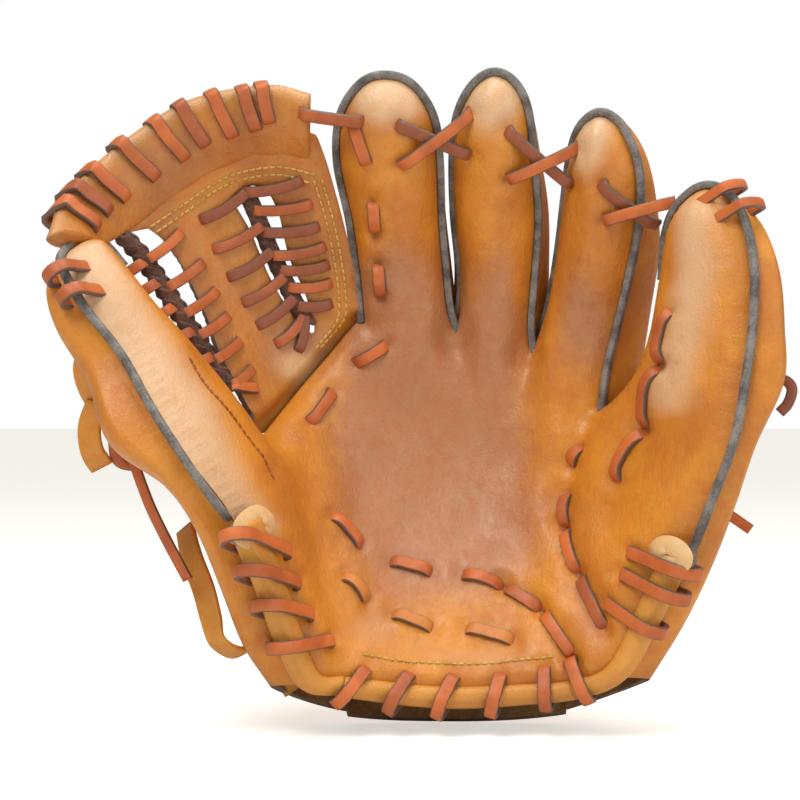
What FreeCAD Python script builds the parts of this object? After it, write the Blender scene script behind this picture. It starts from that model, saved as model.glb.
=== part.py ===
# Baseball fielder's glove for the left hand, held open with the palm towards -Y and the fingers up.
# Every soft piece is laid out flat in the (x, z) plane of the palm and wrapped on to one bowl-shaped
# surface.  h is the height of a point over that surface: positive towards the ball, negative
# towards the back of the hand.  The origin is the middle of the wrist opening, where the hand goes in.
import FreeCAD, Part
import math
import os

# ---------------------------------------------------------------- driving dimensions (mm)
HIDE = 2.4                # thickness of the shell leather
LINING = 1.6              # thickness of the soft lining leather
FELT_PALM = 6.0           # wool felt between palm leather and lining
FIT = 0.3                 # clearance between soft pieces that lie on each other
HAND_ROOM = 29.0          # space for the hand between lining and back panel
FINGER_CROWN = 12.0       # how far the palm side of a finger stall bulges
THUMB_CROWN = 15.0        # the same for the thumb stall
THUMB_DEPTH = 33.0        # how far the back of the thumb stall bulges
LITTLE_CROWN = 13.0       # the same two for the little finger stall
LITTLE_DEPTH = 28.0
PIPING_WIDTH = 3.4        # welt between the palm side and the back of a stall
PIPING_THICK = 2.6
LACE_WIDTH = 6.0          # rawhide lace
LACE_THICK = 2.4
STRAP_THICK = 3.0         # wrist strap leather
STRAP_WIDTH = 30.0
FLEECE_THICK = 5.0        # pile under the wrist strap
WEB_THICK = 4.0           # two plies of web leather
BAND_THICK = 9.0          # padded top band of the web
STALL_GAP = 1.0           # between the palm and the first row of a stall
FOLD_GAP = 0.35           # clearance of each side of a fold line

# ---------------------------------------------------------------- the bowl
WRIST_DEPTH = 40.0        # the origin lies this far in front of the deepest point of the pocket
WRIST_X = 20.0            # layout x of the origin, the middle of the wrist opening
LEFT_POWER = 3.0          # how the bowl turns up towards the thumb
RIGHT_POWER = 2.5         # and towards the little finger
# height z, centre x, centre rise, thumb edge x, thumb edge rise, little edge x, little edge rise
BOWL = [
    (-10, 20, 66, -40, 72, 90, 74),
    (5, 20, 60, -42, 72, 93, 72),
    (50, 16, 30, -55, 80, 109, 80),
    (92, 14, 7, -69, 92, 123, 90),
    (135, 14, 0, -100, 100, 136, 95),
    (178, 14, 8, -128, 90, 140, 88),
    (219, 12, 24, -141, 64, 134, 78),
    (263, 10, 45, -120, 52, 115, 72),
    (285, 10, 54, -110, 56, 105, 74),
]


def station(z, column):
    """One column of BOWL at height z, along a smooth cubic."""
    heights = [row[0] for row in BOWL]
    values = [row[column] for row in BOWL]
    last = len(BOWL) - 1
    i = max([0] + [j for j in range(last) if heights[j] <= z])
    step = heights[i + 1] - heights[i]
    t = (z - heights[i]) / step

    def slope(j):
        a, b = max(0, j - 1), min(last, j + 1)
        return (values[b] - values[a]) / (heights[b] - heights[a]) * step

    return ((2 * t**3 - 3 * t**2 + 1) * values[i] + (t**3 - 2 * t**2 + t) * slope(i)
            + (3 * t**2 - 2 * t**3) * values[i + 1] + (t**3 - t**2) * slope(i + 1))


def rise(x, z):
    """How far the bowl comes forward of its deepest point."""
    centre, low, left, left_rise, right, right_rise = [station(z, k) for k in range(1, 7)]
    if x < centre:
        return low + (left_rise - low) * ((centre - x) / (centre - left)) ** LEFT_POWER
    return low + (right_rise - low) * ((x - centre) / (right - centre)) ** RIGHT_POWER


def normal(x, z):
    e = 0.5
    slope_x = (rise(x + e, z) - rise(x - e, z)) / (2 * e)
    slope_z = (rise(x, z + e) - rise(x, z - e)) / (2 * e)
    return FreeCAD.Vector(-slope_x, -1, -slope_z).normalize()


def wrap(x, z, h=0.0):
    """The point at height h over layout point (x, z)."""
    return FreeCAD.Vector(x - WRIST_X, WRIST_DEPTH - rise(x, z), z) + normal(x, z) * h


# ---------------------------------------------------------------- fold lines
# Each fold turns about a straight axis in front of the palm.  (x, z) and rise of its two ends.
THUMB_AXIS = ((-27, 12, 78), (-90, 238, 54))
LITTLE_AXIS = ((74, 10, 78), (103, 205, 66))


def axis_point(axis, z):
    (x0, z0, d0), (x1, z1, d1) = axis
    t = (z - z0) / (z1 - z0)
    return FreeCAD.Vector(x0 + (x1 - x0) * t - WRIST_X, WRIST_DEPTH - (d0 + (d1 - d0) * t), z)


def at_fold(axis, z, h, side):
    """Layout x at which height h lies in the plane of the fold, FOLD_GAP to one side of it."""
    x = axis_point(axis, z).x + WRIST_X
    for _ in range(30):
        p = wrap(x, z, h)
        x -= p.x - (axis_point(axis, p.z).x + side * FOLD_GAP)
    return x


# ---------------------------------------------------------------- building blocks
def between(start, end, share):
    return start + (end - start) * share


def sharpen(row):
    """Moves control points outwards so that a quadratic curve through their span meets them."""
    inner = [b - (a - b * 2 + c) / 8 for a, b, c in zip(row, row[1:], row[2:])]
    return [row[0]] + inner + [row[-1]]


def smooth(grid, degree=2):
    """A smooth surface that follows a grid of points and ends on its outer rows and columns."""
    columns = [list(column) for column in zip(*[sharpen(row) for row in grid])]
    columns = columns[:1] + [sharpen(column) for column in columns[1:-1]] + columns[-1:]
    grid = [list(row) for row in zip(*columns)]
    spans = [len(grid) - degree, len(grid[0]) - degree]
    knots = [list(range(n + 1)) for n in spans]
    mults = [[degree + 1] + [1] * (n - 1) + [degree + 1] for n in spans]
    surface = Part.BSplineSurface()
    surface.buildFromPolesMultsKnots(grid, mults[0], mults[1], knots[0], knots[1], False, False,
                                     degree, degree)
    return surface


def facet_points(grid, rows, columns):
    """Points sampled evenly from the smooth surface over a control grid."""
    surface = smooth(grid)
    u0, u1, v0, v1 = surface.bounds()
    return [[surface.value(between(u0, u1, i / rows), between(v0, v1, j / columns))
             for j in range(columns + 1)] for i in range(rows + 1)]


def slab(top, bottom, rows=9, columns=8):
    """The solid between two control grids, with flat facets so that soft pieces stay light."""
    faces = []
    points = []
    start = []
    for control in (top, bottom):
        start.append(len(points))
        for run in facet_points(control, rows, columns):
            points.extend(run)

    def at(side, i, j):
        return start[side] + i * (columns + 1) + j

    for side in (0, 1):
        for i in range(rows):
            for j in range(columns):
                a, b = at(side, i, j), at(side, i + 1, j)
                c, d = at(side, i + 1, j + 1), at(side, i, j + 1)
                if points[a].distanceToPoint(points[c]) < points[b].distanceToPoint(points[d]):
                    cell = [(a, b, c), (a, c, d)]
                else:
                    cell = [(a, b, d), (b, c, d)]
                faces += cell if side == 0 else [triangle[::-1] for triangle in cell]
    rim = ([(i, 0) for i in range(rows)] + [(rows, j) for j in range(columns)]
           + [(i, columns) for i in range(rows, 0, -1)] + [(0, j) for j in range(columns, 0, -1)])
    for (i, j), (m, n) in zip(rim, rim[1:] + rim[:1]):
        a, b, c, d = at(0, i, j), at(0, m, n), at(1, m, n), at(1, i, j)
        faces += [(a, c, b), (a, d, c)]
    return faceted(points, faces)


def faceted(points, triangles):
    shape = Part.Shape()
    shape.makeShapeFromMesh((points, triangles), 0.001)
    solid = Part.makeSolid(shape)
    if solid.Volume < 0:
        solid.reverse()
    return solid


def fixed(x, z):
    return lambda h: (x, z)


def on_fold(axis, z, side):
    return lambda h: (at_fold(axis, z, h, side), z)


def grid(rows, height, samples=7, inset=0.0, share=0.0):
    """Control points over a field of layout rows.  A row is (left end, right end, sag, held): each end
    is a function of h that gives the layout point, the row hangs by sag between them, and held tells
    which end lies on a fold (-1 left, 1 right, 0 none).  height(i, t) is h.  The points stay inset,
    and a share of the width, away from each end that isn't held."""
    result = []
    for i, (left, right, sag, held) in enumerate(rows):
        x0, z0 = left(height(i, 0.0))
        x1, z1 = right(height(i, 1.0))
        aside = min(inset / math.hypot(x1 - x0, z1 - z0) + share, 0.42)
        first = 0.0 if held < 0 else aside
        last = 1.0 if held > 0 else 1 - aside
        points = []
        for k in range(samples):
            u = k / (samples - 1)
            t = between(first, last, u)
            points.append(wrap(between(x0, x1, t), between(z0, z1, t) - 4 * sag * t * (1 - t),
                               height(i, u)))
        result.append(points)
    return result


def layer(rows, low, high, samples=9, facets=(9, 8)):
    """A sheet of even thickness between heights low and high."""
    return slab(grid(rows, lambda i, t: high, samples), grid(rows, lambda i, t: low, samples), *facets)


def ribbon(run, width=LACE_WIDTH, thick=LACE_THICK):
    """A flat lace through (point, outward direction) pairs, with a rectangular section."""
    corners = []
    triangles = []
    last = len(run) - 1
    for k, (p, out) in enumerate(run):
        ahead = run[min(last, k + 1)][0] - run[max(0, k - 1)][0]
        across = ahead.cross(out).normalize() * (width / 2)
        up = across.cross(ahead).normalize() * (thick / 2)
        if up.dot(out) < 0:
            up = up * -1
        corners += [p + across + up, p - across + up, p - across - up, p + across - up]
    for k in range(last):
        for j in range(4):
            a, b = 4 * k + j, 4 * k + (j + 1) % 4
            triangles += [(a, b, b + 4), (a, b + 4, a + 4)]
    end = 4 * last
    triangles += [(0, 2, 1), (0, 3, 2), (end, end + 1, end + 2), (end, end + 2, end + 3)]
    return faceted(corners, triangles)


def surface_lace(x0, z0, x1, z1, h, dip=3.0, lift=0.0):
    """One visible run of lace over the leather, with both ends going down into their holes."""
    seat = h + LACE_THICK / 2 + lift
    run = []
    for share, drop in ((0.0, dip), (0.12, 0.2), (0.5, 0.0), (0.88, 0.2), (1.0, dip)):
        x, z = between(x0, x1, share), between(z0, z1, share)
        run.append((wrap(x, z, seat - drop), normal(x, z)))
    return ribbon(run)


def tube(points, radius, sides=8, steps=4):
    """Round cord along straight runs joined by tangent arcs.  Returns the solid and its arc radii."""
    line = [points[0]]
    radii = []
    for a, b, c in zip(points, points[1:], points[2:]):
        back, ahead = (a - b), (c - b)
        turn = math.pi - back.getAngle(ahead)
        run = 0.45 * min(back.Length, ahead.Length)
        arc = run / math.tan(turn / 2)
        radii.append(arc)
        p, q = b + back.normalize() * run, b + ahead.normalize() * run
        centre = b + (back + ahead).normalize() * (arc / math.cos(turn / 2))
        for k in range(steps + 1):
            spoke = (p - centre) * (1 - k / steps) + (q - centre) * (k / steps)
            line.append(centre + spoke.normalize() * arc)
    line.append(points[-1])
    corners = []
    across = (line[1] - line[0]).cross(FreeCAD.Vector(0, 1, 0.3))
    for k, p in enumerate(line):
        ahead = (line[min(len(line) - 1, k + 1)] - line[max(0, k - 1)]).normalize()
        across = (across - ahead * across.dot(ahead)).normalize()
        other = ahead.cross(across)
        for j in range(sides):
            a = 2 * math.pi * j / sides
            corners.append(p + across * (radius * math.cos(a)) + other * (radius * math.sin(a)))
    triangles = []
    for k in range(len(line) - 1):
        for j in range(sides):
            a, b = sides * k + j, sides * k + (j + 1) % sides
            triangles += [(a, b, b + sides), (a, b + sides, a + sides)]
    end = sides * (len(line) - 1)
    for j in range(1, sides - 1):
        triangles += [(0, j + 1, j), (end, end + j, end + j + 1)]
    return faceted(corners, triangles), radii


def unit(dx, dz):
    size = math.hypot(dx, dz)
    return dx / size, dz / size


# ---------------------------------------------------------------- stalls
# One row of a stall: x left, z left, x right, z right, share of the crown on the palm side and on
# the back.  The first row lies against the top edge of the palm.
INDEX = [(-14, 170, 21, 170, 1, 1), (-18, 192, 19, 193, 1, 1), (-21, 214, 17, 214, 1, 0.9),
         (-26, 238, 15, 238, 1, 0.75), (-26, 254, 14, 254, 0.85, 0.6), (-19, 266, 7, 266, 0.6, 0.42),
         (-12, 271, 0, 271, 0.3, 0.22)]
MIDDLE = [(30, 168, 54, 160, 1, 1), (28, 190, 58, 188, 1, 1), (25, 214, 60, 214, 1, 0.9),
          (24, 238, 57, 238, 1, 0.75), (25, 255, 54, 255, 0.85, 0.6), (30, 267, 49, 267, 0.6, 0.42),
          (34, 272, 45, 272, 0.3, 0.22)]
RING = [(63, 155, 84, 136, 1, 1), (66, 176, 94, 170, 1, 1), (69, 200, 100, 198, 1, 0.9),
        (71, 220, 101, 218, 1, 0.75), (72, 236, 99, 234, 0.85, 0.6), (75, 249, 94, 248, 0.6, 0.42),
        (79, 255, 89, 254, 0.3, 0.22)]
# Rows of the thumb stall end at the fold where x right is None, those of the little finger
# where x left is None.
THUMB = [(-41, 17, None, 15, 1, 1), (-50, 36, None, 34, 1, 1), (-58, 60, None, 54, 1, 1),
         (-68, 88, None, 82, 1, 1), (-83, 110, None, 104, 1, 1), (-97, 131, -70, 129, 0.95, 1.0),
         (-111, 154, -86, 152, 1, 0.85), (-125, 172, -104, 173, 1, 0.75), (-135, 186, -117, 190, 0.8, 0.6),
         (-138, 195, -125, 199, 0.4, 0.3)]
LITTLE = [(None, 14, 94, 20, 1, 1), (None, 34, 106, 46, 1, 1), (None, 60, 116, 70, 1, 1),
          (None, 90, 125, 96, 1, 1), (None, 114, 133, 120, 1, 1), (103, 142, 138, 146, 0.95, 1.0),
          (108, 165, 141, 167, 1, 0.9), (111, 186, 142, 188, 1, 0.8), (113, 204, 140, 205, 0.9, 0.65),
          (117, 216, 135, 216, 0.6, 0.45), (121, 222, 130, 222, 0.3, 0.25)]
FINGERS = {"index_finger": INDEX, "middle_finger": MIDDLE, "ring_finger": RING}

FACE = FIT + LINING + FIT + FELT_PALM + FIT + HIDE      # height of the palm leather's face
PALM_CORNERS = ((-16, 166), (88, 127))                  # top edge of the palm, where the stalls start
PALM_SAG = -18
parts = {}


def palm_ends(back=False):
    """Rows of the palm between the two fold lines, from the heel up to the base of the fingers."""
    rows = [(14, 13, 6), (34, 32, 3), (58, 54, 1), (86, 76, -2), (112, 96, -6)]
    ends = [(on_fold(THUMB_AXIS, a, 1), on_fold(LITTLE_AXIS, b, -1), sag, 0) for a, b, sag in rows]
    ends.append((fixed(-50, 128), on_fold(LITTLE_AXIS, 108, -1), -8, 0))
    ends.append((fixed(-33, 146), on_fold(LITTLE_AXIS, 118, -1), -13, 0))
    corner = on_fold(LITTLE_AXIS, PALM_CORNERS[1][1], -1) if back else fixed(*PALM_CORNERS[1])
    ends.append((fixed(*PALM_CORNERS[0]), corner, PALM_SAG, 0))
    return ends


def palm_top(x):
    """Layout z of the palm's top edge at x."""
    (x0, z0), (x1, z1) = PALM_CORNERS
    t = (x - x0) / (x1 - x0)
    return between(z0, z1, t) - 4 * PALM_SAG * t * (1 - t)


def finger_rows(stations):
    rows = []
    for xl, zl, xr, zr, front, back in stations:
        rows.append((fixed(xl, zl), fixed(xr, zr), 0, 0))
    xl, zl, xr, zr = stations[0][:4]
    low_left, low_right = palm_top(xl) + STALL_GAP, palm_top(xr) + STALL_GAP
    arch = palm_top((xl + xr) / 2) + STALL_GAP - (low_left + low_right) / 2
    rows[0] = (fixed(xl, low_left), fixed(xr, low_right), -arch, 0)
    return rows


def side_rows(stations, axis, side):
    """Rows of a stall that ends at a fold; side is -1 for the thumb and 1 for the little finger."""
    rows = []
    for xl, zl, xr, zr, front, back in stations:
        left = on_fold(axis, zl, side) if xl is None else fixed(xl, zl)
        right = on_fold(axis, zr, side) if xr is None else fixed(xr, zr)
        rows.append((left, right, 0, (xr is None) - (xl is None)))
    return rows


def dome(stations, column, crown, flush, base, less=0.0):
    """height(i, t) of a stall: an arch that starts at base on each seam.  A row that ends at a fold
    stays up there, flush with the palm."""
    sign = 1 if base > 0 else -1

    def height(i, t):
        station = stations[i]
        held = station[0] is None or station[2] is None
        top = (flush if held else crown) * station[column] - less
        if station[0] is None:
            arch = math.sqrt(1 - t * t)
        elif station[2] is None:
            arch = math.sqrt(1 - (1 - t) ** 2)
        else:
            arch = math.sqrt(max(0.0, 1 - (2 * t - 1) ** 2))
        return base + sign * max(top - abs(base), 0.2) * arch

    return height


def pull_back(points, share):
    """Shortens a control grid at the tip."""
    points[-1] = [a + (b - a) * share for a, b in zip(points[-1], points[-2])]
    return points


def front_shell(rows, stations, crown):
    return shell(rows, lambda less: dome(stations, 4, crown, FACE, FIT, less))


def back_shell(rows, stations, crown):
    return shell(rows, lambda less: dome(stations, 5, crown, HAND_ROOM + HIDE, -FIT, less))


def shell(rows, height):
    return slab(grid(rows, height(0.0)), pull_back(grid(rows, height(HIDE), 7, HIDE), 0.35))


def felt_pad(rows, stations, crown):
    """The felt that fills the palm side of a stall, over its lining."""
    base = FIT + LINING + FIT
    top = grid(rows, dome(stations, 4, crown, FACE, base + 0.6, HIDE + 2 * FIT), 7, HIDE + FIT, 0.2)
    low = grid(rows, lambda i, t: base, 7, HIDE + FIT, 0.2)
    return slab(pull_back(top, 0.9), pull_back(low, 0.9), 9, 8)


def stall_lining(rows):
    top = grid(rows, lambda i, t: FIT + LINING, 7, HIDE + FIT, 0.1)
    low = grid(rows, lambda i, t: FIT, 7, HIDE + FIT, 0.1)
    return slab(pull_back(top, 0.9), pull_back(low, 0.9))


def edge_points(rows, gap):
    """Points along the smooth edge of a stall, a gap outside it: left side, tip, right side."""
    flat = facet_points(grid(rows, lambda i, t: 0.0), 9, 8)
    left = [row[0] for row in flat]
    right = [row[-1] for row in flat]
    outline = []
    for run, other, step in ((left, right, 1), (right, left, -1)):
        side = []
        for i, p in enumerate(run):
            ahead = run[min(9, i + 1)] - run[max(0, i - 1)]
            out = normal(p.x + WRIST_X, p.z)
            across = ahead.cross(out).normalize()
            if across.dot(p - other[i]) < 0:
                across = across * -1
            side.append((p + across * gap, out))
        outline += side[::step]
    tip = (flat[-1][4] - flat[-2][4]).normalize() * gap + flat[-1][4]
    outline.insert(10, (tip, normal(tip.x + WRIST_X, tip.z)))
    return outline


def build_palm():
    rows = palm_ends()
    lining_top = FIT + LINING
    felt_top = lining_top + FIT + FELT_PALM
    parts["palm_lining"] = layer(rows, FIT, lining_top)
    parts["palm_felt"] = layer(rows, lining_top + FIT, felt_top)
    parts["palm_leather"] = layer(rows, felt_top + FIT, FACE)
    back = [(on_fold(THUMB_AXIS, 40, 1), on_fold(LITTLE_AXIS, 39, -1), 0, 0)] + palm_ends(True)[2:]
    parts["back_of_hand"] = layer(back, -HAND_ROOM - HIDE, -HAND_ROOM)


def build_strap():
    """The wrist strap behind the hand, on the outside of the back panel, and the pile on it."""
    outside = -HAND_ROOM - HIDE - FIT
    strap = [(on_fold(THUMB_AXIS, z, 1), on_fold(LITTLE_AXIS, z - 1, -1), 0, 0)
             for z in (14, 14 + STRAP_WIDTH / 2, 14 + STRAP_WIDTH)]
    pile = [(on_fold(THUMB_AXIS, z, 1), on_fold(LITTLE_AXIS, z - 1, -1), 0, 0) for z in (15, 25, 36)]
    parts["wrist_strap"] = slab(grid(strap, lambda i, t: outside, 9),
                                grid(strap, lambda i, t: outside - STRAP_THICK, 9), 3, 8)
    parts["wrist_fleece"] = slab(grid(pile, lambda i, t: outside + FIT + FLEECE_THICK, 9),
                                 grid(pile, lambda i, t: outside + FIT, 9), 3, 8)


def build_fingers():
    linings = []
    for name, stations in FINGERS.items():
        rows = finger_rows(stations)
        parts[name + "_front"] = front_shell(rows, stations, FINGER_CROWN)
        parts[name + "_felt"] = felt_pad(rows, stations, FINGER_CROWN)
        parts[name + "_back"] = back_shell(rows, stations, HAND_ROOM + HIDE)
        parts[name + "_piping"] = piping(rows)
        linings.append(stall_lining(rows))
    parts["finger_linings"] = Part.makeCompound(linings)


def piping(rows, first=0, last=21):
    """The welt in the seam round a stall."""
    run = edge_points(rows, FIT + PIPING_WIDTH / 2)[first:last]
    return ribbon(run, PIPING_WIDTH, PIPING_THICK)


def build_side(name, stations, axis, side, crown, depth, seam):
    rows = side_rows(stations, axis, side)
    parts[name + "_front"] = front_shell(rows, stations, crown)
    parts[name + "_felt"] = felt_pad(rows, stations, crown)
    parts[name + "_lining"] = stall_lining(rows)
    parts[name + "_back"] = back_shell(rows, stations, depth)
    parts[name + "_piping"] = piping(rows, *seam)


# ---------------------------------------------------------------- web
# rows from the crotch of the thumb up to the top band
WEB = [(-66, 131, -56, 131), (-76, 150, -38, 150), (-83, 168, -22, 172), (-89, 183, -24, 192),
       (-97, 199, -27, 214), (-107, 207, -35, 234)]
WEB_SAG = (0, 0, 0, 0, -6, -15)
# rows of the band from the index finger to the thumb: inner edge, outer edge
BAND = [(-35, 237, -35, 265), (-54, 240, -58, 270), (-76, 236, -90, 264), (-98, 223, -118, 246),
        (-112, 210, -136, 229), (-123, 203, -149, 212)]


def build_web():
    rows = [(fixed(a, b), fixed(c, d), sag, 0) for (a, b, c, d), sag in zip(WEB, WEB_SAG)]
    ply = WEB_THICK / 2
    parts["web_panel"] = layer(rows, FIT, FIT + ply, 7, (7, 6))
    parts["web_back_panel"] = layer(rows, -ply, 0.0, 7, (7, 6))
    band = [(fixed(a, b), fixed(c, d), 0, 0) for a, b, c, d in BAND]
    parts["web_top_band"] = layer(band, 2 - BAND_THICK / 2, 2 + BAND_THICK / 2, 5, (12, 4))


# ---------------------------------------------------------------- laces
# Each run of a lace that shows is (x, z, x, z) from hole to hole, at the height given with it.
STALL_TOP = 11.0                                        # height of the stalls' palm side near its middle
INDEX_LACE = [(-12, 225, -11, 211), (-10, 198, -9, 183)]
WEB_INDEX_LACE = [(-41, 259, -28, 258)]                 # from the top band to the index finger
CROSSES = {"index_middle_lace": (-2, 257, 31, 243, -1, 240, 31, 260),
           "middle_ring_lace": (46, 254, 76, 229, 47, 234, 77, 244),
           "ring_little_lace": (89, 231, 107, 212, 91, 214, 107, 222)}
PALM_LACES = {
    "palm_lace_upper": [(-37, 82, -22, 67), (-6, 60, 14, 55), (27, 54, 45, 51), (48, 50, 62, 44),
                        (64, 42, 70, 30)],
    "palm_lace_lower": [(-31, 56, -18, 44), (-5, 38, 14, 32), (28, 32, 50, 28)],
    "palm_lace_side": [(83, 114, 78, 103), (76, 93, 75, 78), (75, 75, 75, 60)],
    "palm_lace_web": [(-6, 162, -22, 152), (-33, 139, -46, 122)]}
LITTLE_LACES = [(122, 172, 119, 150), (119, 145, 112, 122), (111, 117, 104, 96)]
LITTLE_BREAK = [(93, 51, 95, 38), (96, 35, 98, 23)]
# left and right hand ends of the rungs laced across the web
WEB_LEFT = [(-88, 213), (-82, 200), (-76, 188), (-71, 177), (-66, 168), (-58, 162), (-48, 158)]
WEB_RIGHT = [(-44, 232), (-41, 222), (-38, 214), (-35, 206), (-33, 198), (-31, 190), (-30, 180)]
# the rungs between the thumb and the web: thumb end, web end
THUMB_RUNGS = [(-107, 198, -93, 206), (-102, 187, -87, 194), (-95, 177, -82, 183), (-88, 167, -77, 172),
               (-81, 157, -73, 161), (-75, 147, -69, 150)]
# turns of the lace round the top band: outer edge, hole
BAND_TURNS = [(-44, 270, -43, 254), (-57, 271, -54, 254), (-70, 270, -65, 253), (-84, 266, -76, 250),
              (-97, 259, -87, 245), (-109, 252, -97, 239), (-120, 243, -107, 231), (-130, 234, -116, 223),
              (-139, 224, -124, 216), (-146, 216, -131, 209)]
# turns of the lace over the heel edge: edge, hole
HEEL_TURNS = {
    "thumb": [(-67, 78, -57, 71), (-62, 64, -53, 58), (-56, 49, -49, 45)],
    "palm": [(-24, 9, -15, 20), (-2, 6, 6, 18), (18, 5, 26, 17), (40, 5, 47, 17), (62, 7, 65, 20)],
    "little_finger": [(118, 66, 104, 70), (114, 55, 101, 60), (106, 42, 95, 47)]}


def laid(runs, h):
    return Part.makeCompound([surface_lace(*run, h) for run in runs])


def whip(turns, front, back, clear):
    """One lace that winds over an edge: down into each hole, under, and over the edge again."""
    seat = LACE_THICK / 2 + FIT
    middle = (front + back) / 2
    run = []
    for x0, z0, x1, z1 in turns:
        ux, uz = unit(x1 - x0, z1 - z0)
        hole = FreeCAD.Vector(x1, 0, z1)
        steps = [(-3.0, middle, (ux, uz)), (0.0, front + seat, None), (0.5, front + seat, None),
                 (0.93, front + seat * 0.6, None), (None, middle, (-ux, -uz)),
                 (0.93, back - seat * 0.6, None), (0.5, back - seat, None), (0.0, back - seat, None)]
        for share, h, aside in steps:
            if share is None:
                px, pz = x0 - ux * (clear + seat), z0 - uz * (clear + seat)
            elif share < 0:
                px, pz = x1 - ux * share, z1 - uz * share
            else:
                px, pz = between(x1, x0, share), between(z1, z0, share)
            if aside:
                out = wrap(px + aside[0], pz + aside[1], h) - wrap(px, pz, h)
            else:
                out = normal(px, pz) * (1 if h > middle else -1)
            run.append((wrap(px, pz, h), out.normalize()))
    return ribbon(run[1:])


def build_web_laces():
    face = FIT + WEB_THICK / 2
    middles = [((a[0] + b[0]) / 2, (a[1] + b[1]) / 2) for a, b in zip(WEB_LEFT, WEB_RIGHT)]
    parts["web_left_lace"] = laid([(*a, m[0] - 1, m[1] - 3) for a, m in zip(WEB_LEFT, middles)], face)
    parts["web_right_lace"] = laid([(m[0] + 2, m[1] + 2, *b) for b, m in zip(WEB_RIGHT, middles)], face)
    parts["web_thumb_lace"] = laid(THUMB_RUNGS, face)
    parts["web_index_lace"] = laid(WEB_INDEX_LACE, 2 + BAND_THICK / 2)
    parts["web_band_lace"] = whip(BAND_TURNS, 2 + BAND_THICK / 2, 2 - BAND_THICK / 2, 0.5)


def build_palm_laces():
    parts["index_lace"] = laid(INDEX_LACE, STALL_TOP - 1.5)
    for name, (x0, z0, x1, z1, x2, z2, x3, z3) in CROSSES.items():
        low = surface_lace(x0, z0, x1, z1, STALL_TOP - 2)
        high = surface_lace(x2, z2, x3, z3, STALL_TOP - 2, 3.0, LACE_THICK + FIT)
        parts[name] = Part.makeCompound([low, high])
    for name, runs in PALM_LACES.items():
        parts[name] = laid(runs, FACE)
    parts["little_finger_lace"] = laid(LITTLE_LACES, LITTLE_CROWN - 2)
    parts["little_finger_break_lace"] = laid(LITTLE_BREAK, FACE)


def build_heel():
    """The roll along the heel edge, in one length for each body, and the lace over it."""
    middle = FACE / 2
    palm = palm_ends()[0]
    (x0, z0), (x1, z1) = palm[0](middle), palm[1](middle)
    edge = [(between(x0, x1, t / 8), between(z0, z1, t / 8) - 4 * palm[2] * t / 8 * (1 - t / 8))
            for t in range(9)]
    parts["heel_binding"] = binding(edge, (0, 1))
    parts["thumb_binding"] = binding([row[:2] for row in THUMB[:4]], (-1, -0.35))
    parts["little_finger_binding"] = binding([row[2:4] for row in LITTLE[:4]], (1, -0.35))
    parts["heel_lace"] = whip(HEEL_TURNS["palm"], FACE, FIT, HIDE + FIT)
    parts["thumb_heel_lace"] = whip(HEEL_TURNS["thumb"], FACE - 1, FIT, HIDE + FIT)
    parts["little_finger_heel_lace"] = whip(HEEL_TURNS["little_finger"], FACE - 1, FIT, HIDE + FIT)


def binding(edge, away):
    """A strip of leather folded over an edge."""
    ax, az = unit(*away)
    if az > 0.9:
        az = -az
    run = []
    for x, z in edge:
        px, pz = x + ax * (HIDE / 2 + FIT), z + az * (HIDE / 2 + FIT)
        middle = FACE / 2 if az < -0.9 else 2.0
        out = wrap(px + ax, pz + az, middle) - wrap(px, pz, middle)
        run.append((wrap(px, pz, middle), out.normalize()))
    return ribbon(run, FACE if az < -0.9 else 4.5, HIDE)


# ---------------------------------------------------------------- ends and ties
BUTTON_RADIUS = 7.5                                     # rolled ends of the heel binding
TIE_WIDTH = 14.0                                        # end of the wrist strap, tied beside the heel
TIE = [(3, -3, 3, -6), (3, -14, 8, -12), (2, -24, 11, -8), (1, -27, 12, 0), (1, -16, 12, -14),
       (0, -16, 10, -1), (0, -6, 6, -6)]                # heel row of the thumb, then the way from its edge
TAIL_RADIUS = 2.2
TAIL = [(0, 0, 0), (5, -3, -14), (12, -3, -31), (24, 1, -54)]   # from the knot behind the thumb
THUMB_KNOTS = [(-134, 185, -125, 185), (-129, 177, -120, 176)]
LITTLE_KNOTS = [(136, 222, 124, 214), (142, 214, 131, 207)]
HOOK = [(0, 0, 0), (6, -3, 2), (11, -5, 3), (16, -7, 0), (15, -8, -6), (11, -8, -12)]
STUB = [(-3, 2, 2), (5, -2, -3), (15, -5, -10)]


def back_points(stations, axis, side, depth):
    """Control points of the outside of a side stall's back."""
    return grid(side_rows(stations, axis, side),
                dome(stations, 5, depth, HAND_ROOM + HIDE, -FIT))


def lace_end(start, steps, width):
    toward = FreeCAD.Vector(0, -1, 0)
    return ribbon([(start + FreeCAD.Vector(*step), toward) for step in steps], width)


def ring(centre, radius, width):
    """A closed turn of lace."""
    run = []
    for k in range(9):
        a = 2 * math.pi * k / 9
        out = FreeCAD.Vector(math.cos(a), math.sin(a), 0)
        run.append((centre + out * radius, out))
    return ribbon(run, width)


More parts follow.
